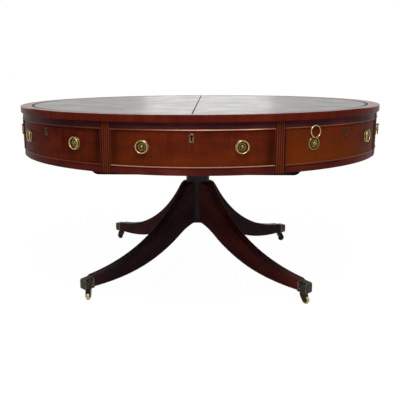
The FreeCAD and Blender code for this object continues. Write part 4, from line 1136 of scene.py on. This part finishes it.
def wire_ring(turn, swung=False):
    """A ring in front of its plate, or swung over its pivot."""
    shape = bmesh.new()
    loops = []
    for step in range(56):
        bend = 2 * math.pi * step / 56
        loop = []
        for n in range(12):
            twist = 2 * math.pi * n / 12
            reach = RING_RADIUS + WIRE_RADIUS * math.cos(twist)
            out = WIRE_RADIUS * math.sin(twist) + RING_OUT
            loop.append(shape.verts.new(Vector((out, reach * math.cos(bend), reach * math.sin(bend))) * MM))
        loops.append(loop)
    skinned(shape, loops, ring=True)
    if swung:
        pivot = moved(RING_OUT, 0, RING_RADIUS)
        shape.transform(pivot @ turned(SWUNG_UP, "Y") @ pivot.inverted())
    shape.transform(on_front(turn))
    return shape


ring_brass = aged_brass("ring_brass", "#8d7748", "#b19a68", "#d3bf8c")
ring_places = [(f"drawer_ring_{place}", turn) for place, turn in DRAWER_TURNS.items()]
ring_places += [(f"fixed_ring_{corner}", heading) for corner, heading in LEG_HEADINGS.items()]
for place, turn in ring_places:
    for hand, aside in (("left", -PULL_TURN), ("right", PULL_TURN)):
        node = f"{place}_{hand}"
        swung = node == "fixed_ring_front_right_left"
        ring = finished(f"wire_{node}", wire_ring(turn + aside, swung), ring_brass)
        set_in_place(ring, node, "brass", node)


# ---- Top: board and lipping ----
# A deal board with a mahogany lipping glued round it.
# The lipping's edge is faced with short upright cross-grained veneer.
TOP_BED, LIPPING_BACK = 760, 750
top_board_wood = polished_mahogany("top_board_wood", "right", "#3b2413", "#5a3a20", "#6f4a2b", polish=0.5)
repaint("top_board", top_board_wood)
edge_mahogany = polished_mahogany("edge_mahogany", "up", "#521810", "#5c1c13", "#672317", polish=0.28)
lipping_outline = bar(LIPPING_BACK, TOP_RADIUS, CASE_HIGH, TOP_BED, (0, 3.4, 0, 0))
lipping = finished("edge_lipping", turned_shape(lipping_outline, 360), edge_mahogany)
set_in_place(lipping, "drum", "mahogany_edge", "top_lipping")


# ---- Top: crossbanding ----
# A border of mahogany veneer with its grain running outwards, its edge eased by wear.
# It is glued round the leather, and stands a little higher.
TOP_FACE, LEATHER_RADIUS = 762, 717


def distance_out(tree, place):
    """How far a place lies from the table's axis, in millimetres."""
    return vectors(tree, "LENGTH", vectors(tree, "MULTIPLY", place, (1, 1, 0)))


def rubbed_by_arms(tree):
    """1 where arms have rubbed the polish off: the outermost centimetres, on the side where people sit."""
    place = grain_place(tree, "up")
    by_the_edge = spread(tree, distance_out(tree, place), 740.0, 747.0, 0.0, 1.0)
    in_front = spread(tree, parts_of(tree, place)[1], -200.0, -450.0, 0.0, 1.0)
    return maths(tree, "MULTIPLY", by_the_edge, in_front)


BAND_FINISH = {"gloss": 0.36, "wear_and_highlight": rubbed_by_arms}
band_mahogany = polished_mahogany("crossband_mahogany", "out", "#3f1e16", "#55291d", "#683626", **BAND_FINISH)
band_outline = bar(LEATHER_RADIUS, TOP_RADIUS, TOP_BED, TOP_FACE, (0, 0, 1.2, 0.2))
band = finished("crossbanded_border", turned_shape(band_outline, 360), band_mahogany)
set_in_place(band, "drum", "mahogany_crossband", "top_crossbanding")


# ---- Top: leather ----
# Two skins of dark hide, pasted on the board and butted along the middle.
# Lines are blind-tooled along their edge.


def tooled_hide():
    # skived cowhide, dyed and waxed: a fine pebble of about 1.5 mm, rubbed paler on its high parts
    material, tree, surface = new_finish("worn_hide", {"IOR": 1.5})
    place = grain_place(tree, "up")
    pebble_place = vectors(tree, "MULTIPLY", place, (0.6, 0.6, 0.6))
    pebble = add(tree, "ShaderNodeTexVoronoi", {"Vector": pebble_place, "Scale": 1.0}).outputs["Distance"]
    patches = streaks(tree, place, "up", 130, 130, 4.0)
    hide = shades(tree, patches, [(0.35, "#322e28"), (0.5, "#38332c"), (0.68, "#3f3a32")])
    reach = distance_out(tree, place)
    worn = spread(tree, patches, 0.3, 0.7, 0.26, 0.36)
    aside = parts_of(tree, place)[0]
    shine = 0.53
    # a tooled band and a line by the edge have lost their polish, and so have the glued edges of the two
    # skins, whose dark line is painted shade of the gap between them
    for distance, middle, width, loss, dimmed in (
        (reach, 712.5, 4.5, 0.3, 0.5),
        (reach, 704.0, 0.8, 0.2, 0.2),
        (aside, 0.0, 2.4, 0.7, 0.1),
    ):
        line = maths(tree, "COMPARE", distance, middle, width)
        hide = blended(tree, line, hide, "#0d0b0a")
        worn = maths(tree, "MULTIPLY_ADD", line, loss, worn)
        shine = maths(tree, "MULTIPLY_ADD", line, -dimmed, shine)
    dress(tree, surface, hide, worn, pebble, 0.35, sunk=True)
    tree.links.new(shine, surface.inputs["Specular IOR Level"])
    return material


SEAM_HALF = 0.5
hide_shape = bmesh.new()
for side in (-1, 1):
    rims = []
    for height, inset in ((TOP_BED, 0.1), (TOP_BED + 1.3, 0.1), (TOP_BED + 1.6, 0.6)):
        radius = LEATHER_RADIUS - inset
        start = math.asin((SEAM_HALF + inset) / radius)
        rim = []
        for step in range(181):
            bend = -math.pi / 2 + start + (math.pi - 2 * start) * step / 180
            rim.append(hide_shape.verts.new(Vector((side, 1, 1)) * spot_at(radius, bend, height)))
        rims.append(rim)
    skinned(hide_shape, rims)
leather = finished("leather_lining", hide_shape, tooled_hide(), hard=60)
set_in_place(leather, "drum", "leather", "leather_panels")
